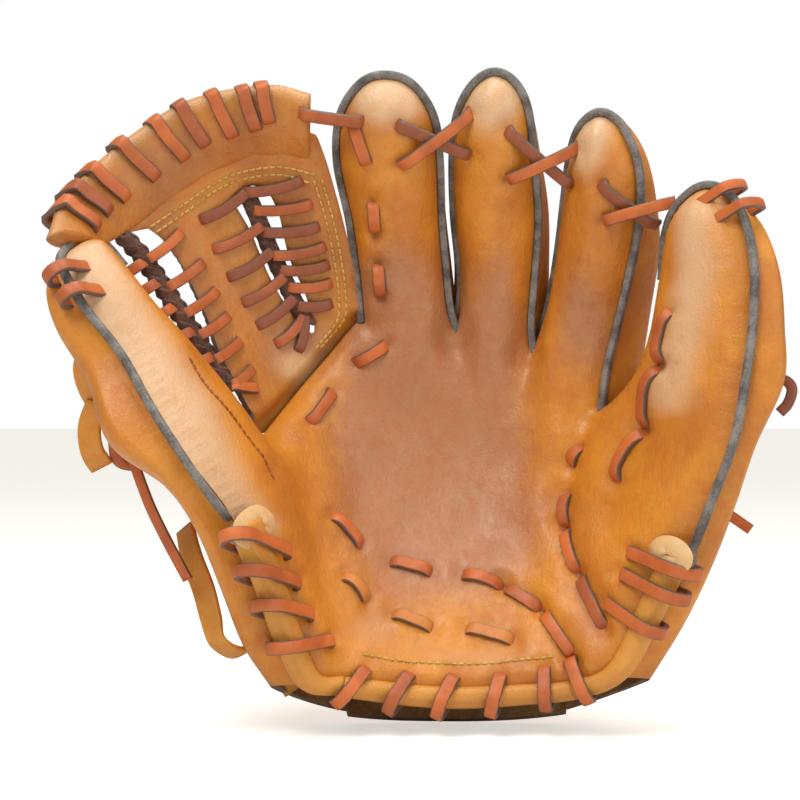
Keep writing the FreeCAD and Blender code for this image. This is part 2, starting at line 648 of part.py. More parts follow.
def build_ends():
    thumb = back_points(THUMB, THUMB_AXIS, -1, THUMB_DEPTH)
    little = back_points(LITTLE, LITTLE_AXIS, 1, LITTLE_DEPTH)
    for name, stations, i in (("thumb", THUMB, 3), ("little_finger", LITTLE, 2)):
        x, z = stations[i][:2] if name == "thumb" else stations[i][2:4]
        parts[name + "_binding_end"] = Part.makeCylinder(BUTTON_RADIUS, HIDE, wrap(x, z, 4), normal(x, z))
    tie = []
    for row, dx, dy, dz in TIE:
        x, z = THUMB[round(row)][:2]
        tie.append((wrap(x, z) + FreeCAD.Vector(dx, dy, dz), FreeCAD.Vector(-0.4, -1, 0)))
    parts["strap_tie"] = ribbon(tie, TIE_WIDTH, STRAP_THICK)
    knot = thumb[5][2]
    parts["thumb_knots"] = Part.makeCompound([whip(THUMB_KNOTS, 4.0, -4.0, PIPING_WIDTH),
                                              ring(knot, 6.5, 11.0)])
    parts["little_finger_knots"] = Part.makeCompound(
        [whip(LITTLE_KNOTS, 5.0, -5.0, 1.0), lace_end(little[5][5], HOOK, 4.5),
         lace_end(little[3][5], STUB, 5.5)])
    parts["thumb_lace_tail"], radii = tube([knot + FreeCAD.Vector(*p) for p in TAIL], TAIL_RADIUS)
    print("tail arc radii", [round(r, 1) for r in radii])


build_palm()
build_strap()
build_fingers()
build_side("thumb", THUMB, THUMB_AXIS, -1, THUMB_CROWN, THUMB_DEPTH, (3, 16))
build_side("little_finger", LITTLE, LITTLE_AXIS, 1, LITTLE_CROWN, LITTLE_DEPTH, (6, 18))
build_web()
build_web_laces()
build_palm_laces()
build_heel()
build_ends()
os.makedirs("parts", exist_ok=True)
for name, shape in parts.items():
    shape.exportStep("parts/" + name + ".step")
    print(name, len(shape.Solids), shape.isValid(), round(shape.Volume), len(shape.tessellate(0.3)[1]))
print(len(parts), "parts")
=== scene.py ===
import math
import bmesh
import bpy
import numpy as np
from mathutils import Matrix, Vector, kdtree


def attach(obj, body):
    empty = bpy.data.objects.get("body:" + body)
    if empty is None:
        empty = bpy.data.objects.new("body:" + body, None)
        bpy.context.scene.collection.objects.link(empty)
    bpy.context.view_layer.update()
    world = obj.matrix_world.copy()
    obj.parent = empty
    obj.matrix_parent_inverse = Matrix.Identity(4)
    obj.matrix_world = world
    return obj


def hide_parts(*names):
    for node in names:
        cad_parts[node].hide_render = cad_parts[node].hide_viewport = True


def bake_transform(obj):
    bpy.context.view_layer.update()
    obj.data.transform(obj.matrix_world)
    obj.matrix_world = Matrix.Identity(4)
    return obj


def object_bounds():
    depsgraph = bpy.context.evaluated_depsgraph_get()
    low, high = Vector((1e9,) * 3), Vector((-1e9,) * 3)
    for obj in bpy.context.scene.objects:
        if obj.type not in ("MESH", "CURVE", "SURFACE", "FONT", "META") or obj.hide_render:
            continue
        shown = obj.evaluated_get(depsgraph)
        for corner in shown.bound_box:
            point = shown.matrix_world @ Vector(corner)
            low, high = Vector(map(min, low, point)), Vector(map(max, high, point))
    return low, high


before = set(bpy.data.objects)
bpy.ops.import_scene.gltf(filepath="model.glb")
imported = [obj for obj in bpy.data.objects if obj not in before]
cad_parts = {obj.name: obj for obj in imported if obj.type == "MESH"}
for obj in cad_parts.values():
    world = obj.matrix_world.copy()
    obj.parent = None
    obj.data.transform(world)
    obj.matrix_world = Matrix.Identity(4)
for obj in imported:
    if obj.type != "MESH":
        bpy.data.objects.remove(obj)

# %% [markdown]
# # A laced fielder's glove
#
# This lesson dresses the measured frame of a left hand baseball glove in leather.  A real glove is a
# few flat pieces of steerhide, sewn inside out, turned, laced together with rawhide and beaten into a
# bowl.  We work the same way round: every soft piece is drawn flat, in millimetres, and one function
# wraps the flat drawing on to the bowl.  Neighbours then always meet, because they share that function.

MM = 0.001
SHELL, LINING, FELT_PAD = 2.2, 1.4, 2.4          # thickness in mm
WEB_PLIES, STRAP, FLEECE, BINDING = 3.6, 3.0, 4.6, 3.0
LACE_WIDTH, LACE_THICK = 5.4, 2.4
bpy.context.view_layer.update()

# %% [markdown]
# ## Camera
#
# A long lens straight in front of the palm, level with the middle of the pocket, keeps the fingers
# from leaning.  The camera stands where a person holding the glove up to look at it would have it.

# %% Camera
camera_data = bpy.data.cameras.new("palm_camera")
camera_data.lens, camera_data.sensor_width, camera_data.clip_start = 90.0, 36.0, 0.01
camera = bpy.data.objects.new("palm_camera", camera_data)
camera.location, camera.rotation_euler = (-0.020, -0.860, 0.135), (math.pi / 2, 0, 0)
bpy.context.scene.collection.objects.link(camera)
bpy.context.scene.camera = camera
print("camera stands", round(-camera.location.y, 3), "m in front of the wrist opening")

# %% [markdown]
# ## The tail of lace behind the thumb
#
# The thumb's lace is knotted on its outer side and the rest of it hangs down.

# %% Lace tail
KNOT = np.array((-132.41, -27.61, 114.19))
TAIL_STEPS = [(0, 0, 0), (5, -3, -14), (12, -3, -31), (24, 1, -54)]
tail_curve = bpy.data.curves.new("thumb_tail_route", "CURVE")
tail_curve.dimensions, tail_curve.resolution_u = "3D", 12
line = tail_curve.splines.new("NURBS")
line.points.add(len(TAIL_STEPS) - 1)
for point, step in zip(line.points, TAIL_STEPS):
    point.co = (*((KNOT + step) * MM), 1.0)
line.order_u, line.use_endpoint_u = 3, True
route = bpy.data.objects.new("thumb_tail_route", tail_curve)
tail_path = [tuple(v.co) for v in bpy.data.meshes.new_from_object(route).vertices]
bpy.data.objects.remove(route)
print("tail follows", len(tail_path), "points of its spline")

# %% [markdown]
# ## The bowl
#
# `BOWL` says, at a few heights, where the pocket is deepest and how far its two sides come forward.
# Between those rows everything follows smooth cubics.  `wrap` takes a point of the flat drawing and a
# height over the hide, and gives the point in space.  Height grows towards the ball.

# %% The bowl and the wrap
BOWL = np.array([
    (-10, 20, 66, -40, 72, 90, 74), (5, 20, 60, -42, 72, 93, 72), (50, 16, 30, -55, 80, 109, 80),
    (92, 14, 7, -69, 92, 123, 90), (135, 14, 0, -100, 100, 136, 95), (178, 14, 8, -128, 90, 140, 88),
    (219, 12, 24, -141, 64, 134, 78), (263, 10, 45, -120, 52, 115, 72), (285, 10, 54, -110, 56, 105, 74),
], float)


def station(z, column):
    """A column of BOWL at any height, along smooth cubics."""
    heights, values = BOWL[:, 0], BOWL[:, column]
    last = len(BOWL) - 1
    i = np.clip(np.searchsorted(heights, z, side="right") - 1, 0, last - 1)
    step = heights[i + 1] - heights[i]
    t = (z - heights[i]) / step

    def slope(j):
        a, b = np.clip(j - 1, 0, last), np.clip(j + 1, 0, last)
        return (values[b] - values[a]) / (heights[b] - heights[a]) * step

    return ((2 * t**3 - 3 * t**2 + 1) * values[i] + (t**3 - 2 * t**2 + t) * slope(i)
            + (3 * t**2 - 2 * t**3) * values[i + 1] + (t**3 - t**2) * slope(i + 1))


def rise(x, z):
    """How far the hide stands towards the ball at a place of the drawing, mm."""
    centre, low, left, left_rise, right, right_rise = [station(z, k) for k in range(1, 7)]
    to_thumb = x < centre
    reach = np.where(to_thumb, (centre - x) / (centre - left), (x - centre) / (right - centre))
    side = np.where(to_thumb, left_rise, right_rise) - low
    return low + side * np.clip(reach, 0, None) ** np.where(to_thumb, 3.0, 2.5)


def normal(x, z):
    """Direction square to the bowl, towards the ball."""
    slope_x = rise(x + 0.5, z) - rise(x - 0.5, z)
    slope_z = rise(x, z + 0.5) - rise(x, z - 0.5)
    n = np.stack([-slope_x, -np.ones_like(slope_x), -slope_z], -1)
    return n / np.linalg.norm(n, axis=-1, keepdims=True)


def wrap(x, z, h=0.0):
    """Bends a flat place, h mm over the bowl, to its point in space in metres."""
    x, z, h = np.broadcast_arrays(*[np.asarray(v, float) for v in (x, z, h)])
    on = np.stack([x - 20, 40 - rise(x, z), z], -1)
    return (on + normal(x, z) * h[..., None]) * MM


THUMB_AXIS = ((-27, 12), (-90, 238))
LITTLE_AXIS = ((74, 10), (103, 205))


def fold_x(axis, z):
    """Drawing x of a fold line at height z."""
    (x0, z0), (x1, z1) = axis
    return x0 + (x1 - x0) * (z - z0) / (z1 - z0)


def at_fold(axis, z, h):
    """Drawing x at which height h lies over the fold line."""
    x = fold_x(axis, z)
    for _ in range(30):
        p = wrap(x, z, h) / MM
        x = x - (p[..., 0] + 20 - fold_x(axis, p[..., 2]))
    return x


print("pocket is", round(float(rise(136.0, 135.0) - rise(14.0, 135.0))), "mm deep")

# %% [markdown]
# ## Small tools
#
# Every seam and edge of the glove is a smooth line, so a line is drawn through a few given points
# and filled in with cubics.  `ramp` is the soft step that most of the shaping below uses.

# %% Lines
def cubic(a, b, c, d, t):
    """Smooth step from b to c, led by their neighbours a and d."""
    return 0.5 * (2 * b + (c - a) * t + (2 * a - 5 * b + 4 * c - d) * t**2
                  + (3 * b - a - 3 * c + d) * t**3)


def curve_through(points, step=1.0):
    """A smooth line through drawn points, in steps of about this many mm."""
    p = np.asarray(points, float)
    ends = np.vstack([2 * p[0] - p[1], p, 2 * p[-1] - p[-2]])
    out = []
    for a, b, c, d in zip(ends, ends[1:], ends[2:], ends[3:]):
        n = max(1, int(round(np.linalg.norm(c - b) / step)))
        t = (np.arange(n) / n)[:, None]
        out.append(cubic(a, b, c, d, t))
    return np.vstack(out + [p[-1:]])


def ramp(value, low, high):
    """0 below low, 1 above high, smooth between."""
    t = np.clip((np.asarray(value, float) - low) / (high - low), 0, 1)
    return t * t * (3 - 2 * t)


print("lines ready")

# %% [markdown]
# ## Meshes from arrays
#
# All pieces are computed as arrays of points and faces, which is quick and repeatable.  The wear and
# painted shade of each point and the place along a lace travel with the mesh as attributes that the
# finishes read.

# %% A mesh object from arrays
def face_fans(points, faces):
    """Vertex normals of a mesh given as arrays."""
    total = np.zeros_like(points)
    for size in (3, 4):
        some = np.array([f for f in faces if len(f) == size], int)
        if len(some):
            across = np.cross(points[some[:, 2]] - points[some[:, 0]],
                              points[some[:, -1]] - points[some[:, 1]])
            for k in range(size):
                np.add.at(total, some[:, k], across)
    return total / np.maximum(np.linalg.norm(total, axis=1, keepdims=True), 1e-12)


def mesh_object(name, points, faces, normals=None, kinds=None, spots=None, uv=None):
    """A mesh piece.  kinds is a material number per face, spots are colours per point for wear and painted
    shade.
    """
    mesh = bpy.data.meshes.new(name)
    mesh.from_pydata([tuple(p) for p in points], [], [tuple(int(v) for v in f) for f in faces])
    mesh.polygons.foreach_set("use_smooth", [True] * len(mesh.polygons))
    if kinds is not None:
        mesh.polygons.foreach_set("material_index", [int(k) for k in kinds])
    if spots is not None:
        layer = mesh.attributes.new("wear_and_shade", "FLOAT_COLOR", "POINT")
        layer.data.foreach_set("color", np.hstack([spots, np.ones((len(spots), 1))]).ravel())
    if uv is not None:
        layer = mesh.uv_layers.new(name="along")
        corner = np.zeros(len(mesh.loops), int)
        mesh.loops.foreach_get("vertex_index", corner)
        layer.data.foreach_set("uv", np.asarray(uv)[corner].ravel())
    mesh.update()
    if normals is not None:
        mesh.normals_split_custom_set_from_vertices([tuple(n) for n in normals])
    piece = bpy.data.objects.new(name, mesh)
    bpy.context.scene.collection.objects.link(piece)
    return piece


print("meshes ready")

# %% [markdown]
# ## Leather with a thickness
#
# A solidify modifier could thicken a surface, but then the cut edge would be shaded as one with the
# face.  Here front, back and edge keep their own points, so each edge is crisp and has its own finish.

# %% Skin with a cut edge
def border(faces):
    """Directed edges that belong to one face only."""
    seen = {}
    for f in faces:
        for a, b in zip(f, list(f[1:]) + [f[0]]):
            seen[(int(a), int(b))] = True
    return [(a, b) for a, b in seen if (b, a) not in seen]


def skin(name, points, faces, thick, normals=None, spots=None):
    """A closed piece of leather, thick mm, whose outside is the given faces."""
    points = np.asarray(points, float)
    if normals is None:
        normals = face_fans(points, faces)
    used = sorted({int(v) for f in faces for v in f})
    place = {v: i for i, v in enumerate(used)}
    top, out = points[used], normals[used]
    faces = [[place[int(v)] for v in f] for f in faces]
    n = len(used)
    edge = border(faces)
    rim = sorted({v for e in edge for v in e})
    at = {v: 2 * n + i for i, v in enumerate(rim)}
    m = len(rim)
    low = top - out * thick * MM
    cloud = np.vstack([top, low, top[rim], low[rim]])
    back = [[v + n for v in f[::-1]] for f in faces]
    sides = [[at[b], at[a], at[a] + m, at[b] + m] for a, b in edge]
    rim_out = face_fans(cloud, sides)[2 * n:]
    kinds = [0] * len(faces) + [2] * len(back) + [1] * len(sides)
    if spots is not None:
        spots = np.asarray(spots)[used]
        spots = np.vstack([spots, spots, spots[rim], spots[rim]])
    return mesh_object(name, cloud, faces + back + sides, np.vstack([out, -out, rim_out]), kinds, spots)


print("skin ready")

# %% [markdown]
# ## Grids and tubes
#
# A stall or a panel is a grid of points; a padded roll is a row of rings that is shut at both ends.

# %% Sheets and tubes
def quads(rows, columns):
    """Faces of a grid of points, row by row."""
    return [[i * columns + j, (i + 1) * columns + j, (i + 1) * columns + j + 1, i * columns + j + 1]
            for i in range(rows - 1) for j in range(columns - 1)]


def tube(name, rings, spots):
    """A closed tube from rings of points, with both ends shut."""
    rings = np.array(rings)
    rows, columns = rings.shape[:2]
    faces = [[i * columns + j, (i + 1) * columns + j, (i + 1) * columns + (j + 1) % columns,
              i * columns + (j + 1) % columns] for i in range(rows - 1) for j in range(columns)]
    faces += [list(range(columns)), list(range((rows - 1) * columns, rows * columns))[::-1]]
    piece = mesh_object(name, rings.reshape(-1, 3), faces, spots=spots)
    shell = bmesh.new()
    shell.from_mesh(piece.data)
    bmesh.ops.recalc_face_normals(shell, faces=shell.faces)
    shell.to_mesh(piece.data)
    shell.free()
    return piece


BALL, BACK = -1, 1


def sheet(name, grid, thick, facing, spots=None):
    """A leather piece from a grid of points on its outside, which faces the ball or the back."""
    rows, columns = grid.shape[:2]
    faces = quads(rows, columns)
    across = np.cross((grid[1:] - grid[:-1])[:, :-1], (grid[:, 1:] - grid[:, :-1])[:-1])
    if across[..., 1].mean() * facing < 0:
        faces = [f[::-1] for f in faces]
    return skin(name, grid.reshape(-1, 3), faces, thick, spots=spots)


print("sheets ready")

# %% [markdown]
# ## Straps
#
# A curve with a bevel would twist at the holes.  A strap takes its own outward direction at each
# point, so its grain side faces out wherever it turns.

# %% Straps
def section(width, thick, crown=0.35):
    """Half-rounded section of a lace: (across, up, share of the width)."""
    w, t = width / 2, thick / 2
    shape = [(-w, -0.5 * t), (-w, 0.5 * t), (-0.9 * w, 0.92 * t), (-0.8 * w, t), (0, t * (1 + crown * 0.3)),
             (0.8 * w, t), (0.9 * w, 0.92 * t), (w, 0.5 * t), (w, -0.5 * t), (0.85 * w, -t), (-0.85 * w, -t)]
    share = [0.0, 0.04, 0.12, 0.22, 0.5, 0.78, 0.88, 0.96, 1.0, 1.0, 0.0]
    return np.array(shape), np.array(share)


def strap(name, runs, width, thick, tones=None, step=1.3, crown=0.35):
    """One or more flat laces.  A run is (points, outward directions) in metres."""
    shape, share = section(width, thick, crown)
    k = len(shape)
    cloud, faces, uv, spots = [], [], [], []
    for number, (path, outs) in enumerate(runs):
        both = curve_through(np.hstack([np.asarray(path) / MM, np.asarray(outs) * 4]), step)
        p, out = both[:, :3] * MM, both[:, 3:]
        ahead = np.gradient(p, axis=0)
        ahead /= np.maximum(np.linalg.norm(ahead, axis=1, keepdims=True), 1e-12)
        side = np.cross(ahead, out)
        side /= np.maximum(np.linalg.norm(side, axis=1, keepdims=True), 1e-12)
        up = np.cross(side, ahead)
        up *= np.sign((up * out).sum(1, keepdims=True) + 1e-12)
        base = sum(len(c) for c in cloud)
        ring = (p[:, None] + side[:, None] * shape[None, :, :1] * MM + up[:, None] * shape[None, :, 1:] * MM)
        cloud.append(ring.reshape(-1, 3))
        length = np.concatenate([[0], np.cumsum(np.linalg.norm(np.diff(p, axis=0), axis=1))]) / MM
        uv.append(np.stack([np.repeat(length + 37.0 * number, k), np.tile(share, len(p))], -1))
        tone = tones[number % len(tones)] if tones else 0.3
        spots.append(np.tile([tone, 0.0, 0.0], (len(p) * k, 1)))
        mirrored = (np.cross(side[0], up[0]) * ahead[0]).sum() < 0
        for i in range(len(p) - 1):
            for j in range(k):
                a, b = base + i * k + j, base + i * k + (j + 1) % k
                quad = [a, b, b + k, a + k]
                faces.append(quad if mirrored else quad[::-1])
        for start, turn in ((base, not mirrored), (base + (len(p) - 1) * k, mirrored)):
            fan = [[start, start + j, start + j + 1] for j in range(1, k - 1)]
            faces += [f if turn else f[::-1] for f in fan]
    return mesh_object(name, np.vstack(cloud), faces, uv=np.vstack(uv), spots=np.vstack(spots))


print("helpers ready")

# %% [markdown]
# ## Finishes
#
# Steerhide for gloves is tanned, dyed through and oiled.  It starts a golden tan, and where hands and
# balls rub it turns pale or a dull pinkish brown.  Rawhide laces are dyed orange on the grain side and
# stay grey brown on their cut edges.  Each piece carries its wear, and the hide also painted shade, as a
# point colour, and the finish mixes its tones by that, so these places stay on the leather when the glove
# folds.

# %% Colour and node helpers
def tint(code):
    """A sRGB hex colour as linear light."""
    parts = [int(code[i:i + 2], 16) / 255 for i in (1, 3, 5)]
    return tuple(c / 12.92 if c <= 0.04045 else ((c + 0.055) / 1.055) ** 2.4 for c in parts) + (1.0,)


def wire(tree, made, **links):
    """Gives inputs of a node a value, a socket, or the first output in use of another node."""
    for key, value in links.items():
        plug = made.inputs[int(key[1:]) if key[1:].isdigit() else key.replace("_", " ")]
        if isinstance(value, bpy.types.Node):
            value = next(out for out in value.outputs if out.enabled)
        if isinstance(value, bpy.types.NodeSocket):
            tree.links.new(value, plug)
        else:
            plug.default_value = value


def node(tree, kind, settings=None, **links):
    """Adds a node with its properties and its inputs."""
    made = tree.nodes.new(kind)
    for key, value in (settings or {}).items():
        setattr(made, key, value)
    wire(tree, made, **links)
    return made


NOISE, SUM = "ShaderNodeTexNoise", ("ShaderNodeMath", {"operation": "ADD"})
TIMES, LESS = ("ShaderNodeMath", {"operation": "MULTIPLY"}), ("ShaderNodeMath", {"operation": "SUBTRACT"})
TIMES_PLUS = ("ShaderNodeMath", {"operation": "MULTIPLY_ADD"})
SMOOTH = ("ShaderNodeMapRange", {"interpolation_type": "SMOOTHSTEP"})
BLEND = ("ShaderNodeMix", {"data_type": "RGBA"})
SOFT = ("ShaderNodeMix", {"data_type": "RGBA", "blend_type": "SOFT_LIGHT"})


def per_m(size):
    """Texture scale for features of this size in mm."""
    return 1000.0 / size


def finish(name, rough, specular=0.5, sheen=0.0, coat=0.0):
    """An empty material with a shader, and the place on the piece that its patterns use."""
    material = bpy.data.materials.new(name)
    material.use_nodes = True
    tree = material.node_tree
    tree.nodes.clear()
    shader = node(tree, "ShaderNodeBsdfPrincipled", Roughness=rough, Specular_IOR_Level=specular,
                  Sheen_Weight=sheen, Coat_Weight=coat, Coat_Roughness=0.25)
    node(tree, "ShaderNodeOutputMaterial", Surface=shader)
    place = node(tree, "ShaderNodeTexCoord").outputs["Object"]
    return material, tree, shader, place


print("node helpers ready")

# %% [markdown]
# ## Steerhide
#
# The shell is steerhide, drum dyed, rolled and oiled.  To the eye it is a warm tan that drifts between
# two tones over a few centimetres, with a soft gleam, pores and a net of fine wrinkles.  The pores are
# really about 0.3 mm apart; here they are 1.3 mm so that they show.  A painted image could hold the
# wear, but a point colour needs no image: red is rubbed brown, partly painted shade on the fingers,
# green is pale, blue is dark brown grime and painted shade, and noise makes the edges of each ragged.

# %% Steerhide
def steerhide(name, tan, deep, worn_and_shaded, pale, grain=1.3, rough=0.42):
    """Two tans that drift, rubbed and pale wear, grime, painted shade, pores and wrinkles."""
    material, tree, shader, place = finish(name, rough, 0.45, coat=0.12)
    cloud = node(tree, NOISE, Vector=place, Scale=per_m(34), Detail=4.0, Roughness=0.55)
    fine = node(tree, NOISE, Vector=place, Scale=per_m(5), Detail=6.0, Roughness=0.7)
    pores = node(tree, "ShaderNodeTexVoronoi", {"feature": "F1"}, Vector=place, Scale=per_m(grain))
    drawn = node(tree, "ShaderNodeMapping", Vector=place, Scale=(1.0, 1.0, 0.35))
    wrinkles = node(tree, NOISE, Vector=drawn, Scale=per_m(3.2), Detail=5.0, Roughness=0.65, Distortion=0.8)
    wear_and_shade = node(tree, "ShaderNodeAttribute", {"attribute_name": "wear_and_shade"})
    marks = node(tree, "ShaderNodeSeparateColor", Color=wear_and_shade)
    ragged = node(tree, *TIMES_PLUS, i0=fine, i1=0.5, i2=-0.25)
    drift = node(tree, *SMOOTH, Value=cloud, From_Min=0.32, From_Max=0.68)
    tone = node(tree, *BLEND, i0=drift, i6=tint(tan), i7=tint(deep))
    # Red mixes in rubbed brown, partly painted shade on the fingers; blue mixes in dark brown #6B3D1C, grime
    # and painted shade.
    for mark, low, high, most, colour in ((0, 0.2, 0.8, 0.92, worn_and_shaded), (1, 0.2, 0.85, 0.95, pale),
                                          (2, 0.25, 1.0, 0.8, "#6B3D1C")):
        marked_place = node(tree, *SUM, i0=marks.outputs[mark], i1=ragged)
        share = node(tree, *SMOOTH, Value=marked_place, From_Min=low, From_Max=high, To_Max=most)
        tone = node(tree, *BLEND, i0=share, i6=tone, i7=tint(colour))
    speck = node(tree, *SMOOTH, Value=fine, From_Min=0.35, From_Max=0.7, To_Max=0.35)
    tone = node(tree, *SOFT, i0=speck, i6=tone, i7=tint("#B8702E"))
    gleam = node(tree, *SMOOTH, Value=fine, From_Min=0.3, From_Max=0.75, To_Min=rough - 0.06,
                 To_Max=rough + 0.14)
    pits = node(tree, *SMOOTH, Value=pores, From_Min=0.0, From_Max=0.55)
    pored = node(tree, "ShaderNodeBump", Strength=0.5, Distance=0.2 * MM, Height=pits)
    creased = node(tree, "ShaderNodeBump", Strength=0.8, Distance=0.6 * MM, Height=wrinkles, Normal=pored)
    wire(tree, shader, Base_Color=tone, Roughness=gleam, Normal=creased)
    return material


steer = steerhide("oiled_steerhide", "#D48C2A", "#BC7424", "#B07A54", "#D6B088")
web_steer = steerhide("web_steerhide", "#C98432", "#AE6C2C", "#B37E52", "#D2A876")
strap_steer = steerhide("strap_steerhide", "#D79638", "#C8862C", "#C0925E", "#DCBB88", rough=0.45)
lining_leather = steerhide("lining_leather", "#D7B07A", "#C79C62", "#B98C5C", "#E3C79E", rough=0.55)
print("steerhide in four tones")

# %% [markdown]
# ## Rawhide lace
#
# Lace is cut from latigo hide that is dyed on the grain side only, so its face is orange and its two
# cut edges stay grey brown.  The texture coordinate "along" runs over the lace's width from 0 to 1, and
# the edge colour comes in near both ends of it.  Handling darkens some runs and polishes others gold.

# %% Rawhide lace
def rawhide(name, face, second, edge, dark):
    """Dyed face, grey edges, dirt and gold by place."""
    material, tree, shader, place = finish(name, 0.5, 0.4, coat=0.08)
    over = node(tree, "ShaderNodeSeparateXYZ", Vector=node(tree, "ShaderNodeUVMap", {"uv_map": "along"}))
    middle = node(tree, *LESS, i0=over.outputs[1], i1=0.5)
    off = node(tree, "ShaderNodeMath", {"operation": "ABSOLUTE"}, i0=middle)
    fine = node(tree, NOISE, Vector=place, Scale=per_m(3.5), Detail=5.0, Roughness=0.7)
    cloud = node(tree, NOISE, Vector=place, Scale=per_m(17), Detail=3.0)
    wear_and_shade = node(tree, "ShaderNodeAttribute", {"attribute_name": "wear_and_shade"})
    marks = node(tree, "ShaderNodeSeparateColor", Color=wear_and_shade)
    ragged = node(tree, *TIMES, i0=node(tree, *LESS, i0=fine, i1=0.5), i1=0.35)
    rim = node(tree, *SMOOTH, Value=node(tree, *SUM, i0=off, i1=ragged), From_Min=0.3, From_Max=0.4)
    drift = node(tree, *SMOOTH, Value=cloud, From_Min=0.35, From_Max=0.65)
    tone = node(tree, *BLEND, i0=drift, i6=tint(face), i7=tint(second))
    soiled = node(tree, *SUM, i0=marks.outputs[0], i1=ragged)
    dirt = node(tree, *SMOOTH, Value=soiled, From_Min=0.15, From_Max=0.95, To_Max=0.85)
    tone = node(tree, *BLEND, i0=dirt, i6=tone, i7=tint(dark))
    gold = node(tree, *SMOOTH, Value=marks.outputs[1], From_Min=0.1, From_Max=0.9)
    tone = node(tree, *BLEND, i0=gold, i6=tone, i7=tint("#D08A3C"))
    tone = node(tree, *BLEND, i0=rim, i6=tone, i7=tint(edge))
    gleam = node(tree, *SMOOTH, Value=fine, From_Min=0.3, From_Max=0.7, To_Min=0.42, To_Max=0.62)
    rippled = node(tree, "ShaderNodeBump", Strength=0.6, Distance=0.3 * MM, Height=fine)
    wire(tree, shader, Base_Color=tone, Roughness=gleam, Normal=rippled)
    return material


lace = rawhide("dyed_rawhide", "#CC6C32", "#B25A2A", "#6B554A", "#7A4633")
print("lace dyed on one side")

# %% [markdown]
# ## Fibres
#
# Cut edges, the flesh side of a hide, wool felt, fleece and waxed thread are all loose fibre: matt,
# with two close tones and a fuzzy relief.  One function makes them, and each gets its own fibre size.
# Felt and pile also catch light along their outline, which sheen gives.

# %% Suede, felt, pile and thread
def fibre(name, light, dark, size, rough=0.9, sheen=0.0, depth=0.3):
    """Matt fibre, size mm from one tuft to the next."""
    material, tree, shader, place = finish(name, rough, 0.2, sheen)
    fine = node(tree, NOISE, Vector=place, Scale=per_m(size), Detail=6.0, Roughness=0.75)
    cloud = node(tree, NOISE, Vector=place, Scale=per_m(size * 9), Detail=3.0)
    both = node(tree, *TIMES_PLUS, i0=cloud, i1=0.5, i2=node(tree, *TIMES, i0=fine, i1=0.5))
    share = node(tree, *SMOOTH, Value=both, From_Min=0.36, From_Max=0.62)
    tone = node(tree, *BLEND, i0=share, i6=tint(dark), i7=tint(light))
    fuzz = node(tree, "ShaderNodeBump", Strength=0.7, Distance=depth * MM, Height=fine)
    wire(tree, shader, Base_Color=tone, Normal=fuzz)
    return material


cut_edge = fibre("cut_leather_edge", "#8A7A70", "#5F5048", 1.2)
suede = fibre("flesh_side_suede", "#B08A5C", "#8A6238", 1.6, sheen=0.2)
welt = fibre("pigskin_welt", "#8C8781", "#55504C", 0.9, rough=0.7, depth=0.2)
dark_lace = fibre("dark_flesh_side_lace", "#6E4E42", "#40291F", 1.3, sheen=0.1, depth=0.6)
felt = fibre("wool_felt", "#D8D0C0", "#B8AE9C", 1.5, sheen=0.4)
pile = fibre("fleece_pile", "#EFE7D6", "#CFC3AC", 2.5, sheen=0.5, depth=1.2)
thread = fibre("waxed_thread", "#DDB964", "#B58F3E", 0.6, rough=0.6)
seam_thread = fibre("tan_seam_thread", "#B06A34", "#8A4C22", 0.6, rough=0.6)
print(len(bpy.data.materials), "finishes")

# %% [markdown]
# ## The palm side of the shell
#
# On the real glove the palm and the palm sides of the five stalls are one hide, so it is one drawing
# here: an outline with a corner in each crotch between the fingers.  A fine square net is laid over it
# and its rim is pulled on to the outline.  The height of the hide is a dome that rises from the seam,
# as felt-filled leather does, with hollows where laces pull and where the glove has learnt to fold.

# %% Outline of the hide
CROTCH, INDEX_BASE = (-60, 119), (-16, 170)
NOTCHES = [(24.5, 165), (58.5, 155), (86.5, 130)]
SIDES = [NOTCHES[2], (95, 137), (103, 149), (108, 165), (111, 186), (113, 204), (117, 215), (124, 222),
         (130, 222), (136, 216), (140, 205), (142, 188), (141, 167), (138, 146), (133, 120), (125, 96),
         (116, 70), (106, 46), (93, 22), (74, 12.5), (49, 8.9), (23, 7.5), (-2, 9.2), (-27, 13.5), (-41, 18),
         (-50, 36), (-58, 60), (-68, 88), (-83, 110), (-97, 131), (-111, 154), (-125, 172), (-134, 186),
         (-137, 194), (-132, 200), (-125, 199), (-117, 190), (-104, 173), (-86, 152), (-70, 131), CROTCH]
WEB_SIDE = [CROTCH, (-46, 138), (-31, 156), (-20, 169), INDEX_BASE]
INDEX = [INDEX_BASE, (-18, 192), (-21, 214), (-26, 238), (-25, 255), (-19, 266), (-11, 271.5), (0, 271),
         (8, 265), (14, 254), (16, 238), (17, 214), (19, 193), (21, 176), NOTCHES[0]]
MIDDLE = [NOTCHES[0], (27.5, 176), (28, 190), (25, 214), (24, 238), (25.5, 256), (31, 267.5), (39, 273),
          (47, 270), (53, 260), (56.5, 240), (59, 214), (58, 188), (57, 168), NOTCHES[1]]
RING = [NOTCHES[1], (63, 168), (66, 180), (69, 200), (71, 220), (73, 238), (77, 250), (84, 255.5), (91, 252),
        (96, 244), (100, 232), (101, 216), (99, 198), (94, 172), (89, 149), NOTCHES[2]]
hide_outline = np.vstack([curve_through(part)[:-1] for part in (SIDES, WEB_SIDE, INDEX, MIDDLE, RING)])
print("outline of", len(hide_outline), "mm")


# %% [markdown]
# ## A net over a drawing
#
# Leather is cut flat and then formed, so each hide here starts as a flat net of squares that is later
# bent by `wrap`.  Squares well inside the drawing stay square; the points of the rim are pulled on to
# it.  The distance of each point to the rim is kept, because the swell of the leather depends on it.

